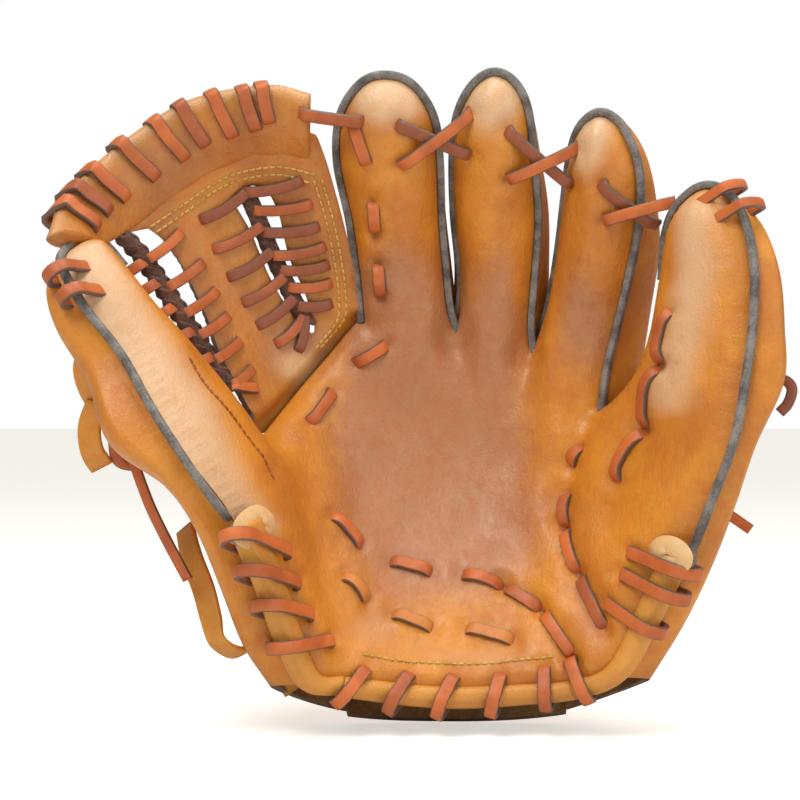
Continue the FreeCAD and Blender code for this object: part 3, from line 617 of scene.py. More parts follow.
# %% A net over a drawing
def inside(points, loops):
    """Which points lie inside closed loops, by counting crossings."""
    x, z = points[:, 0], points[:, 1]
    odd = np.zeros(len(points), bool)
    for loop in loops:
        for (x0, z0), (x1, z1) in zip(loop, np.roll(loop, -1, axis=0)):
            hit = (z0 > z) != (z1 > z)
            if z0 != z1:
                odd ^= hit & (x < x0 + (z - z0) * (x1 - x0) / (z1 - z0))
    return odd


def rim_tree(loops):
    """Finds the nearest place on closed loops."""
    dots = np.vstack([curve_through(np.vstack([loop, loop[:1]]), 0.4) for loop in loops])
    tree = kdtree.KDTree(len(dots))
    for i, (x, z) in enumerate(dots):
        tree.insert((x, z, 0), i)
    tree.balance()
    return tree


def net(loops, cell):
    """(points, quads, distance to the rim) of a net whose border follows the loops."""
    low, high = np.vstack(loops).min(0) - cell, np.vstack(loops).max(0) + cell
    xs, zs = np.arange(low[0], high[0], cell), np.arange(low[1], high[1], cell)
    points = np.stack(np.meshgrid(xs, zs, indexing="ij"), -1).reshape(-1, 2)
    tree = rim_tree(loops)
    found = [tree.find((x, z, 0)) for x, z in points]
    away = np.array([f[2] for f in found]) * np.where(inside(points, loops), 1, -1)
    faces = [f for f in quads(len(xs), len(zs)) if min(away[v] for v in f) > -0.45 * cell]
    rim = {v for e in border(faces) for v in e}
    for v in rim:
        points[v] = found[v][0][:2]
        away[v] = 0.0
    near = np.clip(away, 0, None)
    return points, faces, near


cell = 1.5
hide_points, hide_faces, hide_away = net([hide_outline], cell)
print(len(hide_faces), "squares of hide")

# %% [markdown]
# ## Where the laces run
#
# Each visible run is a pair of holes in the drawing.  The holes come before the hide, because the
# leather sinks at every one of them; the laces themselves are laid later, on the finished hide.

# %% Lace holes on the palm side, from hole to hole
INDEX_LACE = [(-12, 225, -11, 211), (-10, 198, -9, 183)]
CROSSES = {"index_middle": (-2, 257, 31, 243, -1, 240, 31, 260),
           "middle_ring": (46, 254, 76, 229, 47, 234, 77, 244),
           "ring_little": (89, 231, 108, 209, 91, 214, 114, 218)}
PALM_LACES = {
    "palm_lace_upper": [(-37, 82, -22, 67), (-6, 60, 14, 55), (27, 54, 46, 50.5), (47, 50, 63, 42),
                        (64, 41, 76, 25)],
    "palm_lace_lower": [(-31, 56, -18, 44), (-5, 38, 14, 32), (28, 32, 50, 28)],
    "palm_lace_side": [(83, 114, 78, 105), (76, 93, 75, 78), (75, 77, 80, 59), (81, 58, 91, 38)],
    "palm_lace_web": [(-6, 162, -22, 152), (-33, 139, -46, 122)]}
LITTLE_LACES = [(122, 172, 118, 149), (117.5, 147, 110, 122), (109.5, 120, 99, 98)]
HEEL_TURNS = {
    "thumb": [(-67, 78, -55, 70), (-62, 64, -51, 57), (-56, 49, -45, 43), (-50, 33, -35, 31)],
    "palm": [(-24, 11, -17, 17.5), (-2, 7.5, 3.5, 14.5), (18, 6, 22.5, 13.5), (40, 7, 43, 14.5),
             (62, 10, 63, 18.5), (78, 14, 75, 23)],
    "little_finger": [(117, 66, 103, 70), (113, 56, 100, 61), (105, 42, 93, 48)]}
holes = []
for runs in (INDEX_LACE, LITTLE_LACES, *PALM_LACES.values()):
    holes += [(x0, z0) for x0, z0, x1, z1 in runs] + [(x1, z1) for x0, z0, x1, z1 in runs]
for x0, z0, x1, z1, x2, z2, x3, z3 in CROSSES.values():
    holes += [(x0, z0), (x1, z1), (x2, z2), (x3, z3)]
for turns in HEEL_TURNS.values():
    holes += [(x1, z1) for x0, z0, x1, z1 in turns]
print(len(holes), "lace holes")


# %% [markdown]
# ## How the hide swells and sinks
#
# Felt pushes the hide up from its seams, so its height rises as a dome with the distance to the rim.
# Folds that the hand has made, and the pull of each lace hole, are taken off again.  This could be
# sculpted by hand, but as a formula it can be asked for the height anywhere, and laces lie right on it.

# %% How the hide swells and sinks
def along(points, x, z):
    """Distance to a polyline and share of the way along it."""
    p = np.asarray(points, float)
    best, share = np.full(np.shape(x), 1e9), np.zeros(np.shape(x))
    for i, (a, b) in enumerate(zip(p, p[1:])):
        d = b - a
        t = np.clip(((x - a[0]) * d[0] + (z - a[1]) * d[1]) / (d @ d), 0, 1)
        gap = np.hypot(x - a[0] - d[0] * t, z - a[1] - d[1] * t)
        closer = gap < best
        best = np.where(closer, gap, best)
        share = np.where(closer, (i + t) / (len(p) - 1), share)
    return best, share


# polyline, depth at its start and end, half width
FOLDS = [
    (curve_through([(24.5, 166), (26, 156), (29, 143), (32, 132)], 4), 5.5, 0.0, 6),
    (curve_through([(58.5, 156), (58, 146), (55, 134), (50, 122)], 4), 5.5, 0.0, 6),
    (curve_through([(86.5, 131), (83, 116), (78, 98), (76, 80), (82, 56), (93, 33)], 4), 5.5, 2.0, 6),
    (curve_through([(-59, 121), (-52, 104), (-47, 84), (-43, 66), (-37, 46), (-30, 28)], 4), 3.0, 1.2, 6),
    (curve_through([(45, 52), (62, 43), (74, 27), (78, 16)], 4), 1.6, 1.6, 5),
    (curve_through([(-36, 96), (-14, 79), (12, 72), (40, 70), (66, 76)], 5), 0.9, 0.6, 9),
    (curve_through([(-58, 110), (-64, 92), (-62, 74)], 4), 1.2, 0.3, 4),
    (curve_through([(112, 128), (104, 104), (98, 84), (97, 62)], 4), 2.0, 0.6, 6),
]


def swell(x, z):
    """Broad unevenness of hand-formed leather, about 30 mm long."""
    return (0.55 * np.sin(x / 9.1 + 1.3) * np.sin(z / 11.7 + 0.4) + 0.35 * np.sin(x / 5.3 - z / 8.9)
            + 0.3 * np.sin(z / 6.1 + x / 13.0 + 2.0))


print("folds of", sum(len(fold[0]) for fold in FOLDS), "points")

# %% [markdown]
# ## Height of the hide
#
# The dome is steep at the seam and flat on top, like a quilted cushion.  It is fuller on the thumb and
# the little finger, which hold more felt, and the net is bent with it in one step.

# %% Height of the hide
def hide_height(x, z, away):
    """Height of the hide's outside over the bowl, mm."""
    thumb = ramp(-x, 45, 80) * ramp(z, 88, 135)
    little = ramp(x, 95, 115) * ramp(z, 108, 150)
    finger = ramp(z, 158, 185) * ramp(x, -40, -28) * (1 - ramp(x, 100, 108))
    crown = 10.9 + 4.1 * thumb + 2.1 * little + 1.3 * finger
    reach = 7 + 11 * ramp(z, 22, 85)
    u = np.clip(away / reach, 0, 1)
    dome = (1 - (1 - u) ** 2) ** 0.6
    h = crown * dome
    give = ramp(away, 0, 7)
    for points, first, last, width in FOLDS:
        gap, share = along(points, x, z)
        deep = give * (first + (last - first) * share)
        h = h - deep * np.exp(-(gap / width) ** 2)
        h = h + 0.25 * deep * np.exp(-((gap - 2 * width) / width) ** 2)
    for hx, hz in holes:
        gap = np.hypot(x - hx, z - hz)
        h = h - 1.3 * np.exp(-(gap / 3.0) ** 2) + 0.35 * np.exp(-((gap - 7.0) / 3.0) ** 2)
    return np.maximum(h + 0.8 * give * swell(x, z), 0.15 + 0.0 * h)


def away_from_rim(x, z):
    """Distance of any places to the rim of the hide, mm."""
    pairs = np.stack([np.ravel(x), np.ravel(z)], -1)
    gap = np.array([outline_tree.find((a, b, 0))[2] for a, b in pairs])
    return (gap * inside(pairs, [hide_outline])).reshape(np.shape(x))


def on_hide(x, z):
    """Height of the hide for laces and thread that lie on it."""
    x, z = np.asarray(x, float), np.asarray(z, float)
    return hide_height(x, z, away_from_rim(x, z))


outline_tree = rim_tree([hide_outline])
hx, hz = hide_points[:, 0], hide_points[:, 1]
hide_h = hide_height(hx, hz, hide_away)
hide_cloud = wrap(hx, hz, hide_h)
hide_normals = face_fans(hide_cloud, hide_faces)
if hide_normals[:, 1].mean() > 0:
    hide_faces = [f[::-1] for f in hide_faces]
    hide_normals = face_fans(hide_cloud, hide_faces)
print("hide stands", round(float(hide_h.max()), 1), "mm proud of the seam")


# %% [markdown]
# ## Wear and painted shade
#
# A ball rubs the middle of the pocket brown, and hands rub the finger tips and the thumb pale.  Rubbed
# brown and dark brown on the middles of the fingers are partly wear and grime, partly painted shade;
# the folds get painted shade, and the hide is darker round each lace hole.  Each place is a soft spot:
# strength, middle, two radii in mm and a turn in degrees.

# %% Wear and shade painted by place: rubbed brown and painted shade, pale, grime and painted shade
# Rubbed brown; the spots on the finger middles are partly painted shade.
RUBBED_AND_SHADED = [(1.25, 12, 112, 52, 62, 0), (0.9, -4, 178, 18, 30, 0), (0.55, 44, 178, 16, 30, 0),
          (0.7, 84, 172, 12, 30, 10), (0.5, 20, 70, 45, 22, 0), (-0.5, 62, 190, 8, 26, 0)]
PALE = [(1.1, -5, 268, 21, 13, 0), (1.1, 40, 268, 16, 16, 0), (1.1, 81, 250, 11, 17, 10),
        (0.35, 46, 196, 12, 30, 0), (0.25, 30, 120, 30, 26, 0), (0.45, -14, 33, 20, 11, 0),
        (0.4, 30, 20, 30, 7, 0)]
PALE_LINES = [(0.85, 8, [(-135, 192), (-118, 166), (-94, 130), (-76, 100), (-64, 80)]),
              (0.75, 10, [(126, 214), (130, 190), (126, 160), (120, 134)])]
# Dark brown spots on the fingers, a flank of the little finger and beside the web: grime and painted shade.
GRIME_AND_SHADE = [(0.45, 124, 150, 7, 18, 0), (0.42, -6, 196, 14, 34, 0), (0.4, 44, 200, 13, 34, 0),
         (0.45, 84, 190, 12, 36, 8), (0.3, 104, 168, 5, 30, 0), (0.3, -24, 128, 16, 12, 0)]


def patch(x, z, cx, cz, rx, rz, turn=0.0):
    """A soft oval spot of strength 1 at its middle."""
    a = math.radians(turn)
    u = ((x - cx) * math.cos(a) + (z - cz) * math.sin(a)) / rx
    v = ((z - cz) * math.cos(a) - (x - cx) * math.sin(a)) / rz
    return np.exp(-(u * u + v * v))


def spots_at(x, z, places):
    """Sum of the spots of one kind of wear."""
    return sum(strength * patch(x, z, *place) for strength, *place in places)


def hide_wear_and_shade(x, z):
    """Shares at each point of rubbed wear and painted shade, of pale wear, and of grime and painted shade.
    """
    worn_and_shaded = spots_at(x, z, RUBBED_AND_SHADED) * (1 - 0.9 * ramp(x, 62, 92) * (1 - ramp(z, 120, 150)))
    worn_and_shaded = worn_and_shaded * (1 - ramp(-x, 40, 62))
    pale = spots_at(x, z, PALE)
    for strength, width, points in PALE_LINES:
        gap, share = along(points, x, z)
        pale = pale + strength * np.exp(-(gap / width) ** 2)
    grime_and_shade = spots_at(x, z, GRIME_AND_SHADE)
    # Painted shade in the folds between the fingers and at the thumb, deepest at their upper ends.
    for points, first, last, width in FOLDS[:4]:
        gap, share = along(points, x, z)
        grime_and_shade = grime_and_shade + 0.3 * np.exp(-(gap / (0.55 * width)) ** 2) * (1 - share)
    # The hide is darker round each lace hole.
    for px, pz in holes:
        gap = np.hypot(x - px, z - pz)
        grime_and_shade = grime_and_shade + 0.55 * np.exp(-(gap / 2.4) ** 2)
    return np.clip(np.stack([worn_and_shaded, pale, grime_and_shade], -1), 0, 1)


hide_spots = hide_wear_and_shade(hx, hz)
print("wear painted on", len(hide_spots), "points")

# %% [markdown]
# ## One hide on three moving bodies
#
# The glove folds at the thumb and at the little finger.  The leather isn't cut there, it bends.  The
# net is divided along each fold line so that each length stands for its own part.

# %% The hide in three lengths, one for each moving part
centres = np.array([hide_points[f].mean(0) for f in hide_faces])
thumb_side = (centres[:, 0] < fold_x(THUMB_AXIS, centres[:, 1])) & (centres[:, 0] < -20)
thumb_side &= wrap(centres[:, 0], centres[:, 1], 10.0)[:, 0] / MM + 20 < fold_x(THUMB_AXIS, centres[:, 1])
little_side = wrap(centres[:, 0], centres[:, 1], 10.0)[:, 0] / MM + 20 > fold_x(LITTLE_AXIS, centres[:, 1])
little_side |= (centres[:, 0] > 90) & (centres[:, 1] < 20)
little_side &= ~((centres[:, 1] > 128) & (centres[:, 0] < 102.5 - 0.1 * np.maximum(0, 160 - centres[:, 1])))
little_side &= centres[:, 0] > 60


def bend(piece):
    """Bakes the placement of a piece into its points."""
    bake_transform(piece)


def join(piece, body):
    """Pieces of the palm ride on it; pieces of the thumb and the little finger have their placement baked
    in.
    """
    if body == "palm":
        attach(piece, "palm")
    else:
        bend(piece)


def dress(piece, *materials, slot=None, stands_for=()):
    """Materials and the solids that a piece stands for; the colour slot is not used."""
    for material in materials:
        piece.data.materials.append(material)
    if stands_for:
        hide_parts(*stands_for)
    return piece


def some_faces(mask):
    """The squares of the hide that a mask picks."""
    return [f for f, keep in zip(hide_faces, mask) if keep]


palm_side = ~thumb_side & ~little_side
print("hide divided into", int(palm_side.sum()), int(thumb_side.sum()), int(little_side.sum()), "squares")

# %% [markdown]
# ## The three lengths as pieces
#
# Each length of the net becomes leather of full thickness and takes the place of its plain solids.

# %% The hide as pieces
HIDES = {"palm_hide": ("palm", palm_side, ("palm_leather", "index_finger_front", "middle_finger_front",
                                           "ring_finger_front")),
         "thumb_hide": ("thumb", thumb_side, ("thumb_front",)),
         "little_finger_hide": ("little_finger", little_side, ("little_finger_front",))}
for name, (body, mask, nodes) in HIDES.items():
    piece = skin(name, hide_cloud, some_faces(mask), SHELL, hide_normals, hide_spots)
    join(piece, body)
    dress(piece, steer, cut_edge, suede, slot="shell_leather", stands_for=nodes)
print("hide cut in three:", list(HIDES))

# %% [markdown]
# ## Backs of the stalls
#
# Behind the palm side each finger has a back of its own, a long dome sewn to the hide along the welt.
# It is lofted: a row of points across each station of the finger, smoothed along its length.

# %% Rows of the stalls
# x left, z left, x right, z right, share of the depth.  None is the fold line.
INDEX_ROWS = [(-14, 146, 23, 146, 1), (-15, 168, 22, 168, 1), (-18, 192, 19, 193, 1),
              (-21, 214, 17, 214, 0.9), (-26, 238, 16, 238, 0.75), (-25.5, 254, 14, 254, 0.6),
              (-19, 266, 8, 265, 0.42), (-12, 271, 0, 271, 0.2), (-9, 271.8, -3, 271.8, 0.03)]
MIDDLE_ROWS = [(27, 147, 56, 139, 1), (27, 168, 57, 160, 1), (28, 190, 58, 188, 1), (25, 214, 59, 214, 0.9),
               (24, 238, 56.5, 238, 0.75), (25, 255, 54, 255, 0.6), (31, 267, 49, 267, 0.42),
               (35, 272.5, 44, 272.5, 0.2), (37.5, 273.2, 41.5, 273.2, 0.03)]
RING_ROWS = [(60, 136, 85, 113, 1), (62, 155, 88, 134, 1), (66, 176, 94, 170, 1), (69, 200, 100, 198, 0.9),
             (71, 220, 101, 218, 0.75), (73, 237, 99, 235, 0.6), (76, 249, 94, 248, 0.42),
             (80, 254.5, 88, 254, 0.2), (82.5, 255.4, 86, 255.2, 0.03)]
THUMB_ROWS = [(-41, 17, None, 15, 1), (-50, 36, None, 34, 1), (-58, 60, None, 54, 1), (-68, 88, None, 82, 1),
              (-83, 110, None, 104, 1), (-97, 131, -70, 129, 1), (-111, 154, -86, 152, 0.85),
              (-125, 172, -104, 173, 0.75), (-134, 186, -117, 190, 0.6), (-137, 195, -125, 199, 0.3),
              (-133, 199.5, -129, 200, 0.04)]
LITTLE_ROWS = [(None, 14, 94, 20, 1), (None, 34, 106, 46, 1), (None, 60, 116, 70, 1), (None, 90, 125, 96, 1),
               (None, 114, 133, 120, 1), (103, 142, 138, 146, 1), (108, 165, 141, 167, 0.9),
               (111, 186, 142, 188, 0.8), (113, 204, 140, 205, 0.65), (117, 216, 135, 216, 0.45),
               (121, 222, 130, 222, 0.25), (124, 222.8, 128, 222.8, 0.04)]


print("rows of the thumb and the little finger:", len(THUMB_ROWS), len(LITTLE_ROWS))

# %% [markdown]
# ## Lofting the stalls
#
# A row's section is half an ellipse that bulges a little past the seam, so that the side wall of each
# finger shows from the front.  The thumb and the little finger end at the fold, where the section is
# still deep and meets the back panel.

# %% Lofting the stalls
def smooth_rows(p, steps):
    """Adds smooth rows of points between the given rows."""
    ends = np.concatenate([2 * p[:1] - p[1:2], p, 2 * p[-1:] - p[-2:-1]])
    run = []
    for a, b, c, d in zip(ends, ends[1:], ends[2:], ends[3:]):
        run += [cubic(a, b, c, d, t) for t in np.arange(steps) / steps]
    return np.array(run + [p[-1]])


def stall_grid(rows, axis, depth, flush=31.4, base=-0.3, samples=29, steps=7, bulge=6.0):
    """Points of the outside of a stall's back."""
    stations = []
    for xl, zl, xr, zr, share in rows:
        t = np.linspace(0, 1, samples)
        held = xl is None or xr is None
        top = (flush if held else depth) * share
        u = t if xl is None else t - 1 if xr is None else 2 * t - 1
        arch = np.sqrt(np.clip(1 - u**2, 0, 1))
        past = 2.6 * bulge * share * np.sign(u) * u**2 * arch
        h = base - np.maximum(top + base, 0.2) * arch
        x0 = at_fold(axis, np.array(float(zl)), h[0]) if xl is None else xl
        x1 = at_fold(axis, np.array(float(zr)), h[-1]) if xr is None else xr
        stations.append(wrap(x0 + (x1 - x0) * t + past, zl + (zr - zl) * t, h))
    return smooth_rows(np.array(stations), steps)


def back_wear(grid):
    """The backs turn pale towards the tips."""
    n = grid.shape[0] * grid.shape[1]
    high = ramp(grid[..., 2].ravel(), 0.19, 0.27)
    return np.stack([np.zeros(n), 0.5 * high, np.zeros(n)], -1)


FINGER_DEPTH, THUMB_DEPTH, LITTLE_DEPTH = 31.4, 33, 28
STALLS = {"index_finger": (INDEX_ROWS, None, FINGER_DEPTH, "palm"),
          "middle_finger": (MIDDLE_ROWS, None, FINGER_DEPTH, "palm"),
          "ring_finger": (RING_ROWS, None, FINGER_DEPTH, "palm"),
          "thumb": (THUMB_ROWS, THUMB_AXIS, THUMB_DEPTH, "thumb"),
          "little_finger": (LITTLE_ROWS, LITTLE_AXIS, LITTLE_DEPTH, "little_finger")}
for name, (rows, axis, depth, body) in STALLS.items():
    grid = stall_grid(rows, axis, depth)
    piece = sheet(name + "_stall", grid, SHELL, BACK, back_wear(grid))
    join(piece, body)
    dress(piece, steer, cut_edge, suede, slot="shell_leather", stands_for=(name + "_back",))
print("backs:", list(STALLS))

# %% [markdown]
# ## Behind the hand
#
# A back panel closes the glove between the folds.  In front of it lie the lining that the hand feels,
# the felt that gives the pocket its shape, and at the wrist a strap with fleece.  All of them reach
# from fold line to fold line, so one function draws them at their own height under the hide.

# %% Back panel and lining
def field(levels, high, samples=41, inset=0.0, steps=6):
    """A sheet between the two fold lines.  levels are (z at the thumb, z at the little finger, sag)."""
    rows = []
    for z0, z1, sag in levels:
        t = np.linspace(inset, 1 - inset, samples)
        a = at_fold(THUMB_AXIS, np.array(float(z0)), high)
        b = at_fold(LITTLE_AXIS, np.array(float(z1)), high)
        z = z0 + (z1 - z0) * t - 4 * sag * t * (1 - t)
        rows.append(np.stack([a + (b - a) * t, z], -1))
    rows = np.array(rows)
    out = smooth_rows(rows, steps)
    return wrap(out[..., 0], out[..., 1], high)


palm_levels = [(20, 19, 6), (34, 32, 3), (58, 54, 1), (86, 76, -2), (104, 94, -5)]
back_levels = [(40, 39, 0), (58, 54, 1), (86, 76, -2), (112, 96, -6), (128, 112, -10), (146, 124, -14)]
back_grid = field(back_levels, -FINGER_DEPTH)
back_panel = sheet("back_panel", back_grid, SHELL, BACK, back_wear(back_grid))
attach(back_panel, "palm")
dress(back_panel, steer, cut_edge, suede, slot="shell_leather", stands_for=("back_of_hand",))
lining_grid = field(palm_levels, 0.4, inset=0.04)
lining_piece = sheet("palm_lining_skin", lining_grid, LINING, BACK)
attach(lining_piece, "palm")
dress(lining_piece, lining_leather, cut_edge, suede, slot="lining_leather", stands_for=("palm_lining",))
print("panel and lining laid")

# %% [markdown]
# ## Felt
#
# Felt lies right behind the hide and follows all its folds, so it uses the same net a little deeper,
# without the squares next to the seams.

# %% Felt behind the hide
felt_cloud = wrap(hx, hz, hide_h - SHELL - 0.4)
within = np.array([hide_away[f].min() > 3.0 for f in hide_faces])
finger_side = palm_side & (centres[:, 1] > 172)
FELTS = {"palm_felt": ("palm", palm_side & ~finger_side),
         "index_finger_felt": ("palm", finger_side & (centres[:, 0] < 24)),
         "middle_finger_felt": ("palm", finger_side & (abs(centres[:, 0] - 43) < 19)),
         "ring_finger_felt": ("palm", finger_side & (centres[:, 0] > 62)),
         "thumb_felt": ("thumb", thumb_side), "little_finger_felt": ("little_finger", little_side)}
for name, (body, mask) in FELTS.items():
    piece = skin(name + "_pad", felt_cloud, some_faces(mask & within), FELT_PAD, hide_normals)
    dress(piece, felt, felt, felt, slot="wool_felt", stands_for=(name,))
    join(piece, body)
print("felts:", list(FELTS))

# %% [markdown]
# ## Wrist strap and fleece
#
# The strap closes the back at the wrist.  Its fleece is a thick sheet whose points are shaken by a
# third of a millimetre, which reads as tufts; hair strands would cost far more for a strip that
# hardly shows.

# %% Wrist strap and fleece
strap_grid = field([(14, 13, 0), (29, 28, 0), (44, 43, 0)], -34.7, steps=8)
strap_piece = sheet("wrist_strap_leather", strap_grid, STRAP, BACK)
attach(strap_piece, "palm")
dress(strap_piece, strap_steer, cut_edge, suede, slot="strap_leather", stands_for=("wrist_strap",))
fleece_grid = field([(23, 22, 0), (29, 28, 0), (36, 35, 0)], -26.6, samples=91, steps=14, inset=0.02)
rng = np.random.default_rng(5)
fleece_grid = fleece_grid + (rng.random(fleece_grid.shape) - 0.5) * 0.7 * MM
fleece_piece = sheet("wrist_fleece_pile", fleece_grid, FLEECE, BALL)
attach(fleece_piece, "palm")
dress(fleece_piece, pile, pile, pile, slot="fleece", stands_for=("wrist_fleece",))
for name in ("finger_linings", "thumb_lining", "little_finger_lining"):
    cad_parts[name].data.materials.clear()
    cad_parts[name].data.materials.append(lining_leather)
print("inner sheets done")

# %% [markdown]
# ## Welts
#
# A strip of grey pigskin is caught in the seam between a finger's palm side and its back.  It stiffens
# the seam and takes the scuffs.  It is a narrow strap that runs round each stall just outside the seam.

# %% Piping round the stalls
def seam_path(points, gap, h=0.0, step=2.5):
    """(points, outward) of a strip that runs gap mm outside a drawn line (left side first)."""
    p = curve_through(points, step)
    run = np.gradient(p, axis=0)
    run /= np.linalg.norm(run, axis=1, keepdims=True)
    p = p + np.stack([-run[:, 1], run[:, 0]], -1) * gap
    h = np.broadcast_to(h, len(p)) if np.ndim(h) == 0 else np.interp(np.linspace(0, 1, len(p)), *h)
    return wrap(p[:, 0], p[:, 1], h), normal(p[:, 0], p[:, 1])


WELTS = {
    "index_finger": (INDEX, ([0, 1], [0.3, 0.3])),
    "middle_finger": (MIDDLE, ([0, 0.32, 0.42, 1], [-6.0, -5.0, 0.3, 0.3])),
    "ring_finger": (RING, ([0, 0.35, 0.44, 1], [-7.0, -6.0, 0.3, 0.3])),
    "thumb": (SIDES[27:37], ([0, 1], [0.6, 0.3])),
    "little_finger": (SIDES[4:17], ([0, 0.15, 1], [-3.0, 0.4, 0.6]))}
for name, (points, heights) in WELTS.items():
    piece = strap(name + "_welt", [seam_path(points, 1.5, heights)], 3.2, 2.8, crown=1.0)
    dress(piece, welt, slot="piping_leather", stands_for=(name + "_piping",))
    join(piece, STALLS[name][3])
print(len(WELTS), "welts")

# %% [markdown]
# ## Web
#
# The web is one piece of hide, folded over a padded roll at the top, laced to the index finger and to the
# thumb.  One slot is cut in it, and its lower edge passes under the palm's hide.  The panel is two
# plies thick, grain side out on both faces.

# %% Web panel with its slot
WEB_RIM = np.vstack([curve_through(part)[:-1] for part in (
    [(-66, 131), (-57, 122), (-38, 140), (-15, 168)],
    [(-15, 168), (-20, 192), (-25, 214), (-31, 236), (-36, 250)],
    [(-37, 250), (-58, 254), (-82, 250), (-104, 237), (-124, 219), (-134, 206)],
    [(-134, 206), (-120, 205), (-108, 208)],
    [(-108, 208), (-101, 202), (-93, 190), (-85, 172), (-77, 152), (-66, 131)])])
WEB_SEAM = [(-62, 122), (-52, 133), (-40, 147), (-30, 159), (-20, 171)]
SLOT = curve_through([(-73, 222), (-66, 210), (-62, 200), (-58, 190), (-52, 179), (-44, 168), (-39, 165),
                      (-39, 171), (-43, 184), (-48, 195), (-51, 206), (-53, 216), (-58, 226), (-66, 228),
                      (-73, 222)])[:-1]
web_points, web_faces, web_away = net([WEB_RIM, SLOT], cell)
wx, wz = web_points[:, 0], web_points[:, 1]
web_tree = rim_tree([WEB_RIM, SLOT])


def web_height(x, z, away):
    """Height of the web; it dips to pass under the hide at the palm."""
    h = 2.3 - 1.0 * (1 - np.clip(away / 2.5, 0, 1)) ** 2 + 0.35 * swell(x * 1.4, z * 1.4)
    h = h + 0.8 * ramp(away, 2, 10)
    gap, share = along(WEB_SEAM, x, z)
    under = (x - z) > np.interp(share, [0, 1], [-184.0, -191.0])
    return h - 5.2 * np.where(under, 1.0, 1 - ramp(gap, 0, 5.5))


def on_web(x, z):
    """Height of the web for laces and thread that lie on it."""
    x, z = np.asarray(x, float), np.asarray(z, float)
    away = np.array([web_tree.find((a, b, 0))[2] for a, b in zip(x.ravel(), z.ravel())]).reshape(x.shape)
    return web_height(x, z, away)


web_cloud = wrap(wx, wz, web_height(wx, wz, web_away))
web_normals = face_fans(web_cloud, web_faces)
if web_normals[:, 1].mean() > 0:
    web_faces = [f[::-1] for f in web_faces]
    web_normals = face_fans(web_cloud, web_faces)
web_spots = np.stack([1.0 * patch(wx, wz, -44, 156, 20, 18), 0.9 * patch(wx, wz, -46, 150, 12, 9),
                      0.35 * patch(wx, wz, -70, 214, 16, 30) + 0.5 * (1 - ramp(web_away, 0, 3))], -1)
web_piece = skin("web_hide", web_cloud, web_faces, WEB_PLIES, web_normals, np.clip(web_spots, 0, 1))
dress(web_piece, web_steer, cut_edge, web_steer, slot="web_leather",
      stands_for=("web_panel", "web_back_panel"))


def bend_web(piece):
    """Bakes the placement of a piece of the web into its points, as bend does."""
    bend(piece)


bend_web(web_piece)
print("web of", len(web_faces), "squares")

# %% [markdown]
# ## Roll along the top of the web
#
# The web's top edge is folded over a soft roll.  It is a flattened tube between an inner and an outer
# line, a little uneven along its length, and worn pale on top where the ball hits it.

# %% Padded roll along the top of the web
BAND_INNER = [(-39, 240), (-56, 241), (-76, 236), (-97, 223), (-114, 208), (-121, 202), (-127, 197)]
BAND_OUTER = [(-38, 266), (-57, 269.5), (-90, 263), (-118, 245), (-136, 227), (-143, 215), (-145, 200)]
inner, outer = [smooth_rows(np.array(p, float), 14) for p in (BAND_INNER, BAND_OUTER)]
turn = np.linspace(0, 2 * math.pi, 41)[:-1]
band_points = []
for k, (a, b) in enumerate(zip(inner, outer)):
    mid, half = (a + b) / 2, (b - a) / 2
    sway = 0.35 * math.sin(k * 0.55) + 0.25 * math.sin(k * 0.23 + 1)
    across = np.sign(np.cos(turn)) * np.abs(np.cos(turn)) ** 0.75
    up = np.sign(np.sin(turn)) * np.abs(np.sin(turn)) ** 0.8
    plump = 5.0 + sway - 2.2 * ramp(-across, 0.0, 1.0)
    plump *= 1 - 0.35 * (k == 0 or k == len(inner) - 1)
    band_points.append(wrap(mid[0] + half[0] * across, mid[1] + half[1] * across, 2.0 + plump * up))
rows, columns = len(band_points), len(turn)
band_spots = np.zeros((rows * columns, 3))
band_spots[:, 1] = np.tile(0.55 * ramp(np.cos(turn), 0.2, 0.9) * ramp(np.sin(turn), -0.9, 0.4), rows)
band_spots[:, 0] = np.repeat(0.5 * patch(np.arange(rows), 0 * np.arange(rows), 40, 0, 16, 1), columns)
web_band = tube("web_band", band_points, band_spots)
dress(web_band, web_steer, cut_edge, slot="web_leather", stands_for=("web_top_band",))
bend_web(web_band)
print("band of", rows, "rows")


# %% [markdown]
# ## Stitches
#
# The web is sewn twice round its border, and single rows run along the heel and inside the thumb.
# A texture could draw them, but real beads catch the light.  The thread is really 0.5 mm thick; it is
# drawn at 0.8 mm so that it shows.

# %% Stitches
def stitches(name, lines, pitch, height, size=0.42, duty=0.72):
    """Rows of thread: each stitch is a short bowed bead.  Lines are drawn, height(x, z) is their base."""
    runs = []
    for points in lines:
        p = curve_through(points, 0.25)
        far = np.concatenate([[0], np.cumsum(np.linalg.norm(np.diff(p, axis=0), axis=1))])
        for start in np.arange(0.3, far[-1] - pitch, pitch):
            s = start + pitch * duty * np.array([0.0, 0.2, 0.5, 0.8, 1.0])
            x, z = np.interp(s, far, p[:, 0]), np.interp(s, far, p[:, 1])
            h = height(x, z) + np.array([-0.4, 0.25, 0.38, 0.25, -0.4])
            runs.append((wrap(x, z, h), normal(x, z)))
    return strap(name, runs, 2 * size, 2 * size, step=0.7, crown=1.0)


